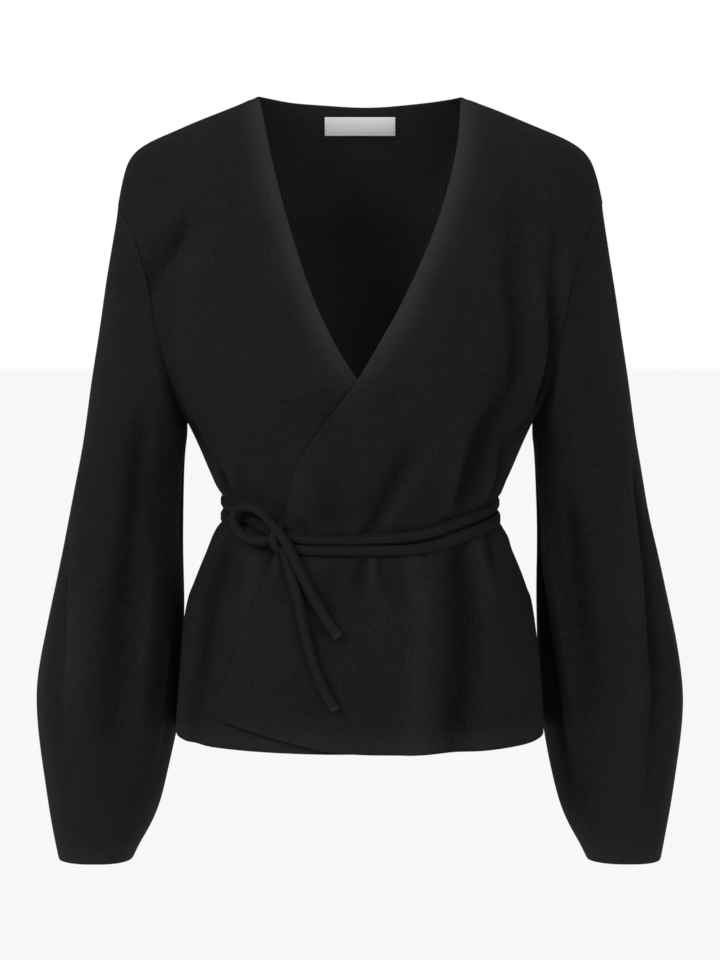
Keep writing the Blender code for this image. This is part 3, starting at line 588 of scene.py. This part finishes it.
# %% The body's own measure
BODY = table(
    "z half front back",
    (-574, 167.0, 117.0, 118.0),
    (-510, 162.5, 113.0, 114.0),
    (-453, 156.5, 106.5, 106.0),
    (-430, 148.5, 101.0, 99.0),
    (-408, 139.5, 94.5, 91.5),
    (-392, 132.0, 89.0, 85.5),
    (-381, 121.5, 84.5, 80.5),
    (-371, 118.0, 83.0, 79.0),
    (-361, 121.0, 84.5, 80.5),
    (-345, 132.5, 92.5, 88.0),
    (-318, 144.0, 101.0, 95.5),
    (-294, 155.0, 106.0, 99.5),
    (-266, 178.5, 109.0, 102.0),
    (-236, 202.0, 108.5, 103.0),
    (-205, 219.0, 105.0, 103.5),
    (-150, 227.5, 93.0, 101.5),
    (-100, 218.0, 77.5, 92.5),
    (-57, 206.5, 58.5, 77.0),
    (-30, 162.5, 43.0, 63.0),
    (0, 91.0, 24.0, 44.5),
)
BELT = table(
    "turn upper lower",
    (-180, -362.2, -374.0),
    (-135, -362.2, -374.0),
    (-90, -364.0, -376.8),
    (-62, -370.0, -381.0),
    (-48, -378.5, -389.0),
    (-35, -388.0, -397.0),
    (-20, -392.5, -401.5),
    (0, -392.5, -401.5),
    (15, -390.5, -401.5),
    (25, -387.5, -399.0),
    (34, -382.5, -394.5),
    (45, -377.5, -389.0),
    (57, -373.5, -385.0),
    (70, -370.5, -382.0),
    (90, -365.2, -378.2),
    (135, -362.2, -374.0),
    (180, -362.2, -374.0),
)


def body_turn(x, y, z):
    """The angle round the body in radians, 0 in front and positive on the wearer's left."""
    half, front, back = (np.interp(z / MM, BODY["z"], BODY[c]) * MM for c in ("half", "front", "back"))
    deep = (y - MIDDLE_Y) / np.where(y < MIDDLE_Y, front, back)
    return np.arctan2(x / half, -deep)


BODY_UNIT = 0.128  # metres round the body for each radian, on average


def girth_unit(z):
    """Metres round the body for each radian, at a height: near the mean of its half width and depth."""
    return 0.52 * sum(np.interp(z / MM, BODY["z"], BODY[c]) for c in ("half", "front")) * MM


def belt_line(turn, column):
    """Height of one turn of the belt at an angle in radians."""
    return np.interp(np.degrees(turn), BELT["turn"], BELT[column]) * MM


# %% [markdown]
# The rows below are in millimetres, seen from the front (and through from the front for the back): where
# a crease starts and ends, how far it bows sideways, its width and height, and which side is steeper.

# %% Creases of the body
FRONT_CREASES = (
    # x_from z_from x_to z_to bow width height lean
    (6, -392, 60, -286, 0, 9.0, -6.0, 0.2),
    (20, -388, 70, -296, 0, 9.0, 3.4, -0.2),
    (82, -366, 138, -222, 0, 11.5, -7.0, 0.1),
    (66, -372, 120, -232, 0, 11.0, 3.4, -0.1),
    (111, -366, 118, -290, 2, 4.6, -6.5, 0.4),
    (97, -364, 104, -322, 2, 5.0, 3.0, 0.0),
    (118, -362, 128, -306, 2, 5.5, 3.2, 0.2),
    (-118, -334, -109, -364, 1, 4.6, -4.2, 0.3),
    (-106, -352, -118, -300, 2, 8.0, 3.0, -0.3),
    (-48, -378, -58, -290, 4, 13.0, 3.0, 0.2),
    (-26, -384, -30, -330, 2, 9.0, -2.6, 0.3),
    (5, -407, -1, -444, 1, 5.5, -5.6, 0.3),
    (20, -405, 27, -446, 1, 5.0, -3.4, 0.2),
    (12, -408, 14, -446, 1, 5.0, 3.0, 0.0),
    (86, -394, 68, -720, 5, 15.0, -8.2, 0.1),
    (54, -402, 36, -700, 3, 13.0, 5.0, -0.3),
    (105, -384, 111, -430, 1, 5.5, -5.4, 0.4),
    (96, -390, 104, -470, 1, 8.0, 3.4, 0.0),
    (121, -384, 136, -425, 2, 6.0, 3.0, 0.2),
    (136, -392, 160, -500, 0, 18.0, -5.5, 0.0),
    (-136, -392, -160, -500, 0, 16.0, -2.2, 0.0),
    (102, -478, 101, -560, 1, 5.0, -1.6, 0.5),
    (-112, -391, -137, -414, -2, 5.0, 4.6, -0.3),
    (-110, -394, -148, -640, -4, 15.0, -6.8, 0.0),
    (-75, -396, -77, -424, 0, 5.5, -4.4, 0.3),
    (-90, -402, -97, -500, 2, 10.0, 3.2, -0.2),
    (-60, -408, -66, -456, 1, 7.0, -2.4, 0.2),
    (33, -406, 36, -466, 1, 6.0, -3.4, 0.3),
    (45, -406, 48, -480, 1, 8.0, 2.6, -0.2),
    (57, -402, 57, -440, 1, 5.0, -3.0, 0.3),
    (-20, -408, -34, -500, 2, 10.0, -2.6, 0.2),
    (158, -278, 177, -105, -28, 6.0, -8.0, -0.2),
    (166, -118, 140, -280, 2, 9.0, 2.4, -0.3),
    (129, -258, 136, -84, -15, 9.5, -5.6, 0.1),
    (145, -258, 153, -90, -14, 8.0, 2.0, 0.0),
    (-158, -116, -152, -292, 3, 12.0, -6.5, 0.3),
    (-168, -112, -166, -240, 3, 8.0, 1.6, -0.2),
    (-134, -120, -128, -290, 3, 14.0, 2.6, -0.2),
    (150, -288, 116, -322, -2, 7.0, -3.6, 0.3),
    (-151, -290, -124, -326, 2, 7.0, -3.0, 0.3),
)
BACK_CREASES = (
    # x_from z_from x_to z_to bow width height lean
    (-98, -352, -128, -258, 4, 7.7, -5.8, 0.4),
    (-84, -350, -108, -284, 3, 8.8, 4.0, -0.3),
    (-56, -352, -74, -268, 3, 8.8, -4.0, 0.3),
    (-16, -352, -22, -282, 2, 6.6, -5.4, 0.4),
    (-4, -352, -2, -300, 1, 7.7, 3.4, -0.3),
    (30, -352, 44, -286, 2, 8.8, -3.6, 0.3),
    (54, -352, 72, -296, 2, 7.7, 3.6, -0.2),
    (76, -350, 106, -256, 4, 7.7, -6.1, 0.5),
    (104, -350, 112, -306, 1, 5.5, -4.0, 0.3),
    (-106, -386, -126, -450, 2, 6.6, -5.8, 0.4),
    (-88, -388, -98, -470, 2, 8.8, 3.8, -0.3),
    (-62, -388, -70, -500, 2, 8.8, -4.3, 0.3),
    (-36, -388, -40, -440, 1, 6.6, 3.2, -0.2),
    (-18, -388, -24, -540, 2, 8.8, -5.8, 0.4),
    (10, -388, 12, -450, 1, 6.6, 3.6, -0.2),
    (36, -388, 40, -470, 1, 7.7, -3.6, 0.3),
    (62, -388, 76, -540, 2, 8.8, -6.1, 0.4),
    (88, -388, 100, -460, 2, 7.7, 3.6, -0.3),
    (110, -386, 126, -440, 2, 6.6, -4.3, 0.3),
    (150, -116, 148, -280, 3, 7.7, -4.3, 0.3),
    (-151, -120, -149, -276, 3, 8.8, -4.0, 0.3),
    (-148, -290, -118, -320, 2, 6.6, -2.9, 0.3),
    (149, -289, 122, -324, -2, 6.6, -3.2, 0.3),
)
print(len(FRONT_CREASES), "creases in front,", len(BACK_CREASES), "behind")


def ridge(off, width, lean):
    """A crease's section: a soft bump that falls off faster on one side."""
    side = 1 + lean * np.tanh(off / width * 2)
    return np.exp(-((off / (width * side)) ** 2))


def crease(across, along, start, end, bow, width, height, lean):
    """Lift by one crease, in the plane of two measures of the cloth."""
    run = end - start
    length = np.hypot(*run)
    share = ((across - start[0]) * run[0] + (along - start[1]) * run[1]) / length**2
    off = ((across - start[0]) * run[1] - (along - start[1]) * run[0]) / length
    off = off - bow * (1 - (2 * np.clip(share, 0, 1) - 1) ** 2)
    opened = width * (0.75 + 0.5 * np.clip(share, 0, 1))
    ends = fade(share, -0.08, 0.10) * (1 - fade(share, 0.40, 1.10))
    return height * ends * ridge(off, opened, lean)


def body_creases(points):
    """Lift of the body's cloth at points on it."""
    x, y, z = points.T
    turn = body_turn(x, y, z)
    total = np.zeros(len(points))
    for rows, facing in ((FRONT_CREASES, -1), (BACK_CREASES, 1)):
        for x0, z0, x1, z1, bow, width, height, lean in rows:
            spot = []
            for cx, cz in ((x0, z0), (x1, z1)):
                half = np.interp(cz, BODY["z"], BODY["half"])
                at = math.asin(max(-1.0, min(1.0, cx / half)))
                spot.append(np.array([at if facing < 0 else math.copysign(math.pi, cx) - at, cz * MM]))
            middle = (spot[0][0] + spot[1][0]) / 2
            around = (turn - middle + np.pi) % (2 * np.pi) - np.pi
            unit = girth_unit(np.full(1, (spot[0][1] + spot[1][1]) / 2))[0]
            start, end = (np.array([(s[0] - middle) * unit, s[1]]) for s in spot)
            total += crease(around * unit, z, start, end, bow * MM, width * MM, height * MM, lean)
    return total


# %% [markdown]
# The belt draws the cloth in, so it folds into small puckers just above and below. They are short and
# many, and no two are alike, so they come from a seeded list of random numbers.

# %% Puckers at the belt
rng = np.random.default_rng(7)
PUCKERS = []
for above in (1, -1):
    angle = -178.0
    while angle < 178:
        # length, width, height and sideways drift in millimetres
        sizes = [rng.uniform(*span) for span in ((12, 34), (2.6, 5.0), (-2.6, -0.9), (-6, 6))]
        PUCKERS.append((angle, above, *sizes))
        angle += rng.uniform(7, 19)
print(len(PUCKERS), "puckers")


def belt_gather(points):
    """Puckers and the soft roll of cloth above and below the belt, and how much other creases show there."""
    x, y, z = points.T
    turn = body_turn(x, y, z)
    middle = (belt_line(turn, "upper") + belt_line(turn, "lower")) / 2
    over = z - middle
    total = 1.5 * MM * np.exp(-(((np.abs(over) - 17 * MM) / (9 * MM)) ** 2))
    for angle, above, long, width, height, drift in PUCKERS:
        away = over * above
        share = np.clip((away - 4 * MM) / (long * MM), 0, 1.2)
        off = (turn - math.radians(angle)) * BODY_UNIT - drift * MM * share
        strength = fade(away, 2 * MM, 8 * MM) * (1 - fade(share, 0.2, 1.0))
        total += height * MM * strength * np.exp(-((off / (width * MM * (0.8 + share))) ** 2))
    pinned = 1 - np.exp(-((over / (11 * MM)) ** 2))
    return total, pinned


# %% Creases of the sleeves
# turn is the angle round the sleeve in degrees, 0 at its outer line and 90 in front; z is in millimetres.
SLEEVE_CREASES = {
    "sleeve_right": (
        # turn_from z_from turn_to z_to bow width height lean
        (24, -335, 64, -620, -14, 8.0, 5.8, -0.6),
        (95, -285, 99, -680, -2, 12.0, -5.9, 0.1),
        (122, -420, 124, -620, 2, 9.0, 3.4, -0.2),
        (143, -485, 139, -640, 0, 5.0, 3.0, 0.3),
        (70, -430, 76, -620, 2, 12.0, 2.0, 0.0),
        (128, -215, 152, -330, 3, 8.8, -3.2, 0.3),
        (108, -230, 120, -360, 3, 11.0, 2.0, -0.2),
        (70, -150, 90, -300, 3, 13.2, -1.8, 0.2),
        (60, -600, 66, -684, 1, 6.0, -1.0, 0.3),
        (128, -610, 122, -686, 1, 6.0, -0.9, 0.3),
        (176, -330, 168, -430, 2, 6.6, -2.9, 0.3),
        (205, -340, 214, -560, 3, 8.8, -4.3, 0.4),
        (232, -300, 240, -480, 3, 9.9, 2.9, -0.2),
        (252, -420, 262, -620, 3, 8.8, -4.7, 0.4),
        (285, -250, 292, -470, 3, 9.9, -3.2, 0.3),
        (310, -380, 314, -600, 3, 8.8, 3.6, -0.3),
        (335, -430, 330, -620, 3, 7.7, -4.0, 0.4),
        (230, -620, 234, -686, 1, 5.0, -1.6, 0.3),
        (300, -620, 296, -688, 1, 5.0, -1.4, 0.3),
    ),
    "sleeve_left": (
        # turn_from z_from turn_to z_to bow width height lean
        (170, -425, 130, -640, 0, 8.5, -8.5, 0.2),
        (114, -360, 110, -600, 0, 11.0, -5.6, 0.2),
        (142, -380, 118, -620, -2, 9.0, 3.6, -0.3),
        (37, -335, 66, -660, -3, 5.0, -5.4, 0.4),
        (52, -350, 80, -660, -3, 10.0, 3.2, -0.3),
        (22, -380, 40, -640, -3, 8.0, 2.4, 0.0),
        (118, -190, 146, -330, -3, 9.0, -5.8, 0.3),
        (104, -220, 126, -350, -3, 9.9, 3.2, -0.3),
        (84, -140, 96, -330, 3, 13.2, -2.2, 0.2),
        (48, -606, 58, -686, 1, 6.0, -1.0, 0.3),
        (124, -600, 118, -686, 1, 6.0, -0.9, 0.3),
        (178, -340, 170, -450, 2, 6.6, -2.9, 0.3),
        (208, -360, 218, -580, 3, 8.8, -4.3, 0.4),
        (236, -290, 246, -470, 3, 9.9, 2.9, -0.2),
        (258, -440, 266, -630, 3, 8.8, -4.7, 0.4),
        (288, -260, 298, -500, 3, 9.9, -3.2, 0.3),
        (314, -370, 308, -610, 3, 8.8, 3.6, -0.3),
        (338, -450, 334, -610, 3, 7.7, -4.0, 0.4),
        (226, -616, 230, -686, 1, 5.0, -1.6, 0.3),
        (304, -616, 300, -688, 1, 5.0, -1.4, 0.3),
    ),
}
SLEEVE_UNIT = 0.060  # metres round the sleeve for each radian
print("sleeve creases:", {node: len(rows) for node, rows in SLEEVE_CREASES.items()})


def sleeve_turn(points, side):
    """The angle round the sleeve in radians, from its outer line round the front."""
    from_middle = points - sleeve_middle(points, side)
    return np.arctan2(-from_middle[:, 1], side * from_middle[:, 0]) % (2 * np.pi)


def sleeve_creases(points, node):
    """Lift of a sleeve's cloth at points on it."""
    turn = sleeve_turn(points, PANELS[node])
    total = np.zeros(len(points))
    for turn0, z0, turn1, z1, bow, width, height, lean in SLEEVE_CREASES[node]:
        middle = math.radians((turn0 + turn1) / 2)
        around = (turn - middle + np.pi) % (2 * np.pi) - np.pi
        start = np.array([(math.radians(turn0) - middle) * SLEEVE_UNIT, z0 * MM])
        end = np.array([(math.radians(turn1) - middle) * SLEEVE_UNIT, z1 * MM])
        across = around * SLEEVE_UNIT
        total += crease(across, points[:, 2], start, end, bow * MM, width * MM, height * MM, lean)
    return total


# %% [markdown]
# Even calm cloth isn't a perfect surface. A few long waves of half a millimetre, in directions that don't
# repeat, take the drawn look off it. Every lift is worked out from a point's place alone, so the two sides
# of a wall and two panels at a seam always move together.

# %% Lift the cloth
WAVES = [(rng.normal(size=3) * 2 * np.pi / rng.uniform(0.05, 0.13), rng.uniform(0, 6.28)) for _ in range(14)]


def slack(points):
    """Long uneven waves, up to about half a millimetre."""
    return sum(np.sin(points @ direction + phase) for direction, phase in WAVES) * 0.13 * MM


def corners(mesh):
    """A mesh's points as an array."""
    points = np.empty(len(mesh.vertices) * 3)
    mesh.vertices.foreach_get("co", points)
    return points.reshape(-1, 3)


def attribute_of(mesh, name):
    """A point attribute's values as an array."""
    values = np.empty(len(mesh.vertices))
    mesh.attributes[name].data.foreach_get("value", values)
    return values


# where the armhole seam runs, and the smoother line from which a sleeve's creases begin
ARMHOLE = table(
    "z x",
    (-294, 155.0),
    (-266, 168.0),
    (-236, 173.5),
    (-205, 180.0),
    (-175, 186.0),
    (-150, 192.0),
    (-125, 200.5),
    (-96, 217.0),
)
SLEEVE_HEAD = table("z x", (-294, 155), (-205, 180), (-150, 192), (-96, 217))


def past_seam(points, seam):
    """How far points lie beyond the armhole seam, away from the body, in metres."""
    return np.abs(points[:, 0]) - np.interp(points[:, 2] / MM, seam["z"], seam["x"]) * MM


painted_shading_by_panel = {}
for node, side in PANELS.items():
    mesh = cloth[node].data
    points = corners(mesh)
    low = -points[:, 2]
    if side:
        creased, gather = sleeve_creases(points, node), 0
        share = np.where(low > 0.30, 1, fade(past_seam(points, SLEEVE_HEAD), 0, 14 * MM))
    else:
        gather, pinned = belt_gather(points)
        creased, share = body_creases(points) * pinned, fade(-past_seam(points, ARMHOLE), -0.5 * MM, 6 * MM)
    painted_cuff_light = 0.6 * fade(low, 0.58, 0.68) if side else 0  # painted light: the colour is drawn lighter towards the cuff, where the narrowing sleeve faces the light more
    # painted shading: darker where a crease or pucker sinks, lighter where it rises
    painted_shading_by_panel[node] = np.clip((creased + gather) / (5 * MM), -1.7, 1.3) + painted_cuff_light
    lift = creased * share + gather + slack(points)
    out = outwards(points, side)
    if side:  # the gathered sleeve stands out a little further low down
        fuller = np.where(out[:, 0] * side > 0, fade(low, 0.36, 0.54), fade(low, 0.58, 0.66))
        lift += 2.6 * MM * fuller * np.abs(out[:, 0])
    points += out * lift[:, None]
    if not side:
        # the front hem dips a little
        facing_front = np.clip(-out[:, 1], 0, 1) ** 2
        points[:, 2] -= 3.8 * MM * fade(low, 0.48, 0.574) * facing_front
    mesh.vertices.foreach_set("co", points.ravel())
    mesh.update()
    print(node, "lifted from", round(lift.min() / MM, 1), "to", round(lift.max() / MM, 1), "mm")

# %% [markdown]
# ## The cloth's map, seams and edges
#
# A pattern needs to know where it is on the cloth. The map is in metres: round the body or arm, and down.
# Three attributes go with it: how near a point is to a seam, where the knit is drawn in; how near it is to
# the neck edge or the hem, where a highlight is painted into the colour; and painted shading from the
# folds, darker in a crease's trough, lighter on its ridge and towards the cuffs.

# %% Map the cloth
SEAM_REACH = 1.3 * MM
EDGE_REACH = 15 * MM


def map_cloth(node):
    """Lays the map on a panel, in metres."""
    mesh = cloth[node].data
    side = PANELS[node]
    points = corners(mesh)
    if side:
        around = sleeve_turn(points, side) * SLEEVE_UNIT
        whole = 2 * np.pi * SLEEVE_UNIT
        along = points @ np.array([side * 0.112, 0.0, -0.994])  # down the sleeve, which slopes outwards
    else:
        turn = body_turn(*points.T)
        turn = np.where(turn < 0, turn + 2 * np.pi, turn) if node == "back" else turn
        around = turn * BODY_UNIT
        whole = 2 * np.pi * BODY_UNIT
        along = -points[:, 2]
    loops = np.empty(len(mesh.loops), int)
    mesh.loops.foreach_get("vertex_index", loops)
    start = np.empty(len(mesh.polygons), int)
    count = np.empty(len(mesh.polygons), int)
    mesh.polygons.foreach_get("loop_start", start)
    mesh.polygons.foreach_get("loop_total", count)
    face_of_loop = np.repeat(np.arange(len(start)), count)
    # a face across the map's cut stays whole
    u = around[loops]
    highest = np.maximum.reduceat(u, start)[face_of_loop]
    u = np.where(highest - u > whole / 2, u + whole, u)
    uv = np.stack([u, along[loops]], axis=1)
    layer = mesh.uv_layers.new(name="cloth")
    layer.data.foreach_set("uv", uv.ravel())


def near_edge(points, kept, reach):
    """Nearness of points to a set of them: 1 on it, fading out over about the reach."""
    tree = KDTree(len(kept))
    for i, p in enumerate(kept):
        tree.insert(p, i)
    tree.balance()
    away = np.array([tree.find(p)[2] for p in points])
    return np.exp(-((away / reach) ** 2))


for node in PANELS:
    map_cloth(node)
    mesh = cloth[node].data
    points = corners(mesh)
    seam_line = points[attribute_of(mesh, "rim") > 0.995]
    free_line = points[attribute_of(mesh, "free") > 0.96]
    low = -points[:, 2]
    seam = near_edge(points, seam_line, SEAM_REACH)
    # the painted highlight is strong at the neck, dies away where the fronts cross, and comes back weakly at
    # the hem
    painted_edge_highlight = near_edge(points, free_line[::3], EDGE_REACH)
    painted_edge_highlight *= 1 - fade(low, 0.19, 0.30) + 0.3 * fade(low, 0.545, 0.57)
    for name, value in (("seam", seam), ("painted_edge_highlight", painted_edge_highlight), ("painted_shading", painted_shading_by_panel[node])):
        made = mesh.attributes.new(name, "FLOAT", "POINT")
        made.data.foreach_set("value", value.astype(np.float32))
    mesh.set_sharp_from_angle(angle=math.radians(55))
    mesh.update()
    print(node, len(seam_line), "points on seams,", len(free_line), "on free edges")

CUTS = {
    # flat width and length of the cut in metres, and its area
    "back": (0.52, 0.60, 0.246),
    "front_under": (0.38, 0.60, 0.132),
    "front_over": (0.38, 0.60, 0.135),
    "sleeve_right": (0.42, 0.58, 0.181),
    "sleeve_left": (0.42, 0.58, 0.181),
}
for node, (width, length, area) in CUTS.items():
    piece = cloth[node]
    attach(piece, "root")
    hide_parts(node)
print("whole cut:", round(sum(area for _, _, area in CUTS.values()), 3), "square metres")

# %% [markdown]
# ## The belt
#
# The cord passes twice round the waist. Its height is a table of angles, and its distance from the body
# is found by a ray that comes in level and stops at the cloth, so each turn lies on the creases as they
# are. It is pressed a little oval against the cloth.

# %% Lay the belt on the cloth
body_points, body_faces = [], []
for node in ("back", "front_under", "front_over"):
    mesh = cloth[node].data
    body_faces += [[i + len(body_points) for i in face.vertices] for face in mesh.polygons]
    body_points += [v.co.copy() for v in mesh.vertices]
cloth_surface = BVHTree.FromPolygons(body_points, body_faces)
BELT_START = -27.0  # degrees round the body: each turn starts and ends under the knot
BELT_END = 326.0
BELT_WIDTHS = (8.8, 9.4, 11.4, 11.2, 10.8, 10.8, 11.0, 9.0)  # from the knot round to it; flatter at the sides
SUNK = 2.4 * MM  # the cord's middle lies this far out of the cloth, less than half its thickness


def belt_route(column):
    """The cord's middle line round the waist, SUNK out of the cloth."""
    route = []
    for degrees in np.arange(BELT_START, BELT_END + 0.1, 3.0):
        turn = math.radians((degrees + 180) % 360 - 180)
        z = float(belt_line(np.array(turn), column))
        half, front, back = (float(np.interp(z / MM, BODY["z"], BODY[c])) for c in ("half", "front", "back"))
        deep = (front if math.cos(turn) > 0 else back) * MM
        power = 2 / 2.2  # the body's section is a little squarer than an ellipse
        x = half * MM * math.copysign(abs(math.sin(turn)) ** power, math.sin(turn))
        y = MIDDLE_Y - deep * math.copysign(abs(math.cos(turn)) ** power, math.cos(turn))
        out = away_from_body(np.array([[x, y, z]]))[0]
        start = Vector(np.array([x, y, z]) + out * 60 * MM)
        hit = cloth_surface.ray_cast(start, Vector(-out), 200 * MM)[0]
        route.append(np.array(hit if hit else (x, y, z)) + out * SUNK)
    return np.array(route)


for node, column in (("belt_upper", "upper"), ("belt_lower", "lower")):
    route = belt_route(column)
    route[1:-1] = (route[:-2] + 2 * route[1:-1] + route[2:]) / 4  # the cord is too stiff to follow every pucker
    turn_of_belt, _ = knitted_cord(node + "_cord", route, BELT_WIDTHS, 6.0, sides=28, step=0.8 * MM)
    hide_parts(node)

# %% [markdown]
# ## The half bow
#
# The knot is not a ball but cord over cord: one wrap goes round both turns of the belt, the loop stands
# out to the left, and its upper strand crosses the wrap on its way down to the front end.

# %% Tie the knot and the loop
LOOP_ROUTE = (
    (-0.0730, -0.0740, -0.3865),
    (-0.0773, -0.0780, -0.3906),
    (-0.0825, -0.0790, -0.3927),
    (-0.0904, -0.0765, -0.3932),
    (-0.0986, -0.0710, -0.3917),
    (-0.1055, -0.0645, -0.3874),
    (-0.1100, -0.0585, -0.3821),
    (-0.1121, -0.0545, -0.3763),
    (-0.1108, -0.0545, -0.3700),
    (-0.1060, -0.0590, -0.3656),
    (-0.1001, -0.0640, -0.3637),
    (-0.0947, -0.0685, -0.3644),
    (-0.0893, -0.0725, -0.3669),
    (-0.0834, -0.0763, -0.3719),
    (-0.0790, -0.0782, -0.3765),
)
WRAP_ROUTE = (
    (-0.0680, -0.0690, -0.3785),
    (-0.0722, -0.0775, -0.3825),
    (-0.0752, -0.0812, -0.3880),
    (-0.0752, -0.0820, -0.3940),
    (-0.0722, -0.0815, -0.3995),
    (-0.0675, -0.0790, -0.4030),
)
loop, _ = knitted_cord("bow_loop_cord", LOOP_ROUTE, (7.2, 7.4, 8.8, 8.0, 7.8), 6.4, counts_back=True)
wrap, _ = knitted_cord("bow_wrap_cord", WRAP_ROUTE, (8.4, 9.0, 8.4), 6.6)
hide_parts("bow_loop")
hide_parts("bow_knot")

# %% [markdown]
# ## The neck label
#
# A blank strip of woven satin, sewn in at its two ends with stitches too small to see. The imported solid
# is a plain strip, so a copy gets softer edges.

# %% Sew in the label
bm = bmesh.new()
bm.from_mesh(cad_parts["neck_label"].data)
bmesh.ops.remove_doubles(bm, verts=bm.verts, dist=2e-5)
bmesh.ops.join_triangles(
    bm, faces=bm.faces, angle_face_threshold=math.radians(40), angle_shape_threshold=math.radians(60)
)
bmesh.ops.bevel(
    bm,
    geom=[e for e in bm.edges if len(e.link_faces) == 2 and e.calc_face_angle() > 1.0],
    offset=0.2 * MM,
    segments=2,
    profile=0.5,
    affect="EDGES",
    material=-1,
)
label_mesh = bpy.data.meshes.new("woven_label")
bm.to_mesh(label_mesh)
bm.free()
label_mesh.shade_smooth()
label_mesh.materials.append(LABEL_SATIN)
label = placed("woven_label", label_mesh)
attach(label, "root")
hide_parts("neck_label")
print("label", len(label_mesh.polygons), "faces")

# %% [markdown]
# ## Floor, light and background
#
# Black knit needs a lot of soft light and nothing hard. The surround is white where it is seen, and lights
# the cloth only a little from everywhere, because even light hides folds; two wide lamps from the front
# sides and one from above shape them. The floor is far enough below to hold no shadow in the picture.

# %% Floor
FLOOR_Z = -1.6
bm = bmesh.new()
bmesh.ops.create_grid(bm, x_segments=1, y_segments=1, size=40.0)
bmesh.ops.translate(bm, vec=(0, 0, FLOOR_Z), verts=bm.verts)
floor_mesh = bpy.data.meshes.new("floor")
bm.to_mesh(floor_mesh)
bm.free()
PAPER, _, paper_shader = finish_named("matte_white_paper")
paper_shader.inputs["Base Color"].default_value = linear("#f6f6f6")
paper_shader.inputs["Roughness"].default_value = 1.0
paper_shader.inputs["Specular IOR Level"].default_value = 0.0
floor_mesh.materials.append(PAPER)
floor = placed("floor", floor_mesh)
floor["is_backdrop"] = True
print("floor at", FLOOR_Z)

# %% Light
SURROUND_LIGHT = 0.31  # its strength on the cloth, where 1 is what the camera sees
bpy.context.scene.view_settings.view_transform = "Standard"
world = bpy.data.worlds.new("white_surround")
world.use_nodes = True
seen = add(world.node_tree, "LightPath").outputs["Is Camera Ray"]
surround = world.node_tree.nodes["Background"]
surround.inputs["Color"].default_value = (1.0, 1.0, 1.0, 1.0)
strength = maths(world.node_tree, "MULTIPLY_ADD", seen, 1.0 - SURROUND_LIGHT, SURROUND_LIGHT)
world.node_tree.links.new(strength, surround.inputs["Strength"])
bpy.context.scene.world = world


def soft_lamp(name, come_from, strength, angle):
    """A far lamp that fills a wide angle of the studio, so its shadows are soft."""
    lamp = placed(name, bpy.data.lights.new(name, "SUN"))
    lamp.data.energy = strength
    lamp.data.angle = math.radians(angle)
    lamp.location = Vector(come_from) * 3
    lamp.rotation_euler = Vector(come_from).to_track_quat("Z", "Y").to_euler()
    print(name, strength)


soft_lamp("key_left", (-0.80, -0.62, 0.70), 2.0, 26)
soft_lamp("fill_right", (0.62, -0.78, 0.40), 1.0, 44)
soft_lamp("top", (0.05, -0.10, 1.0), 0.7, 60)

# %% Measure the sizes and finish
seen_lo, seen_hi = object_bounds()
sizes = {
    "cad": [list(cad_lo), list(cad_hi)],
    "visual": [list(seen_lo), list(seen_hi)],
}
print("grown at the low side by", [round((a - b) / MM, 1) for a, b in zip(cad_lo, seen_lo)], "mm")
print("grown at the high side by", [round((b - a) / MM, 1) for a, b in zip(cad_hi, seen_hi)], "mm")
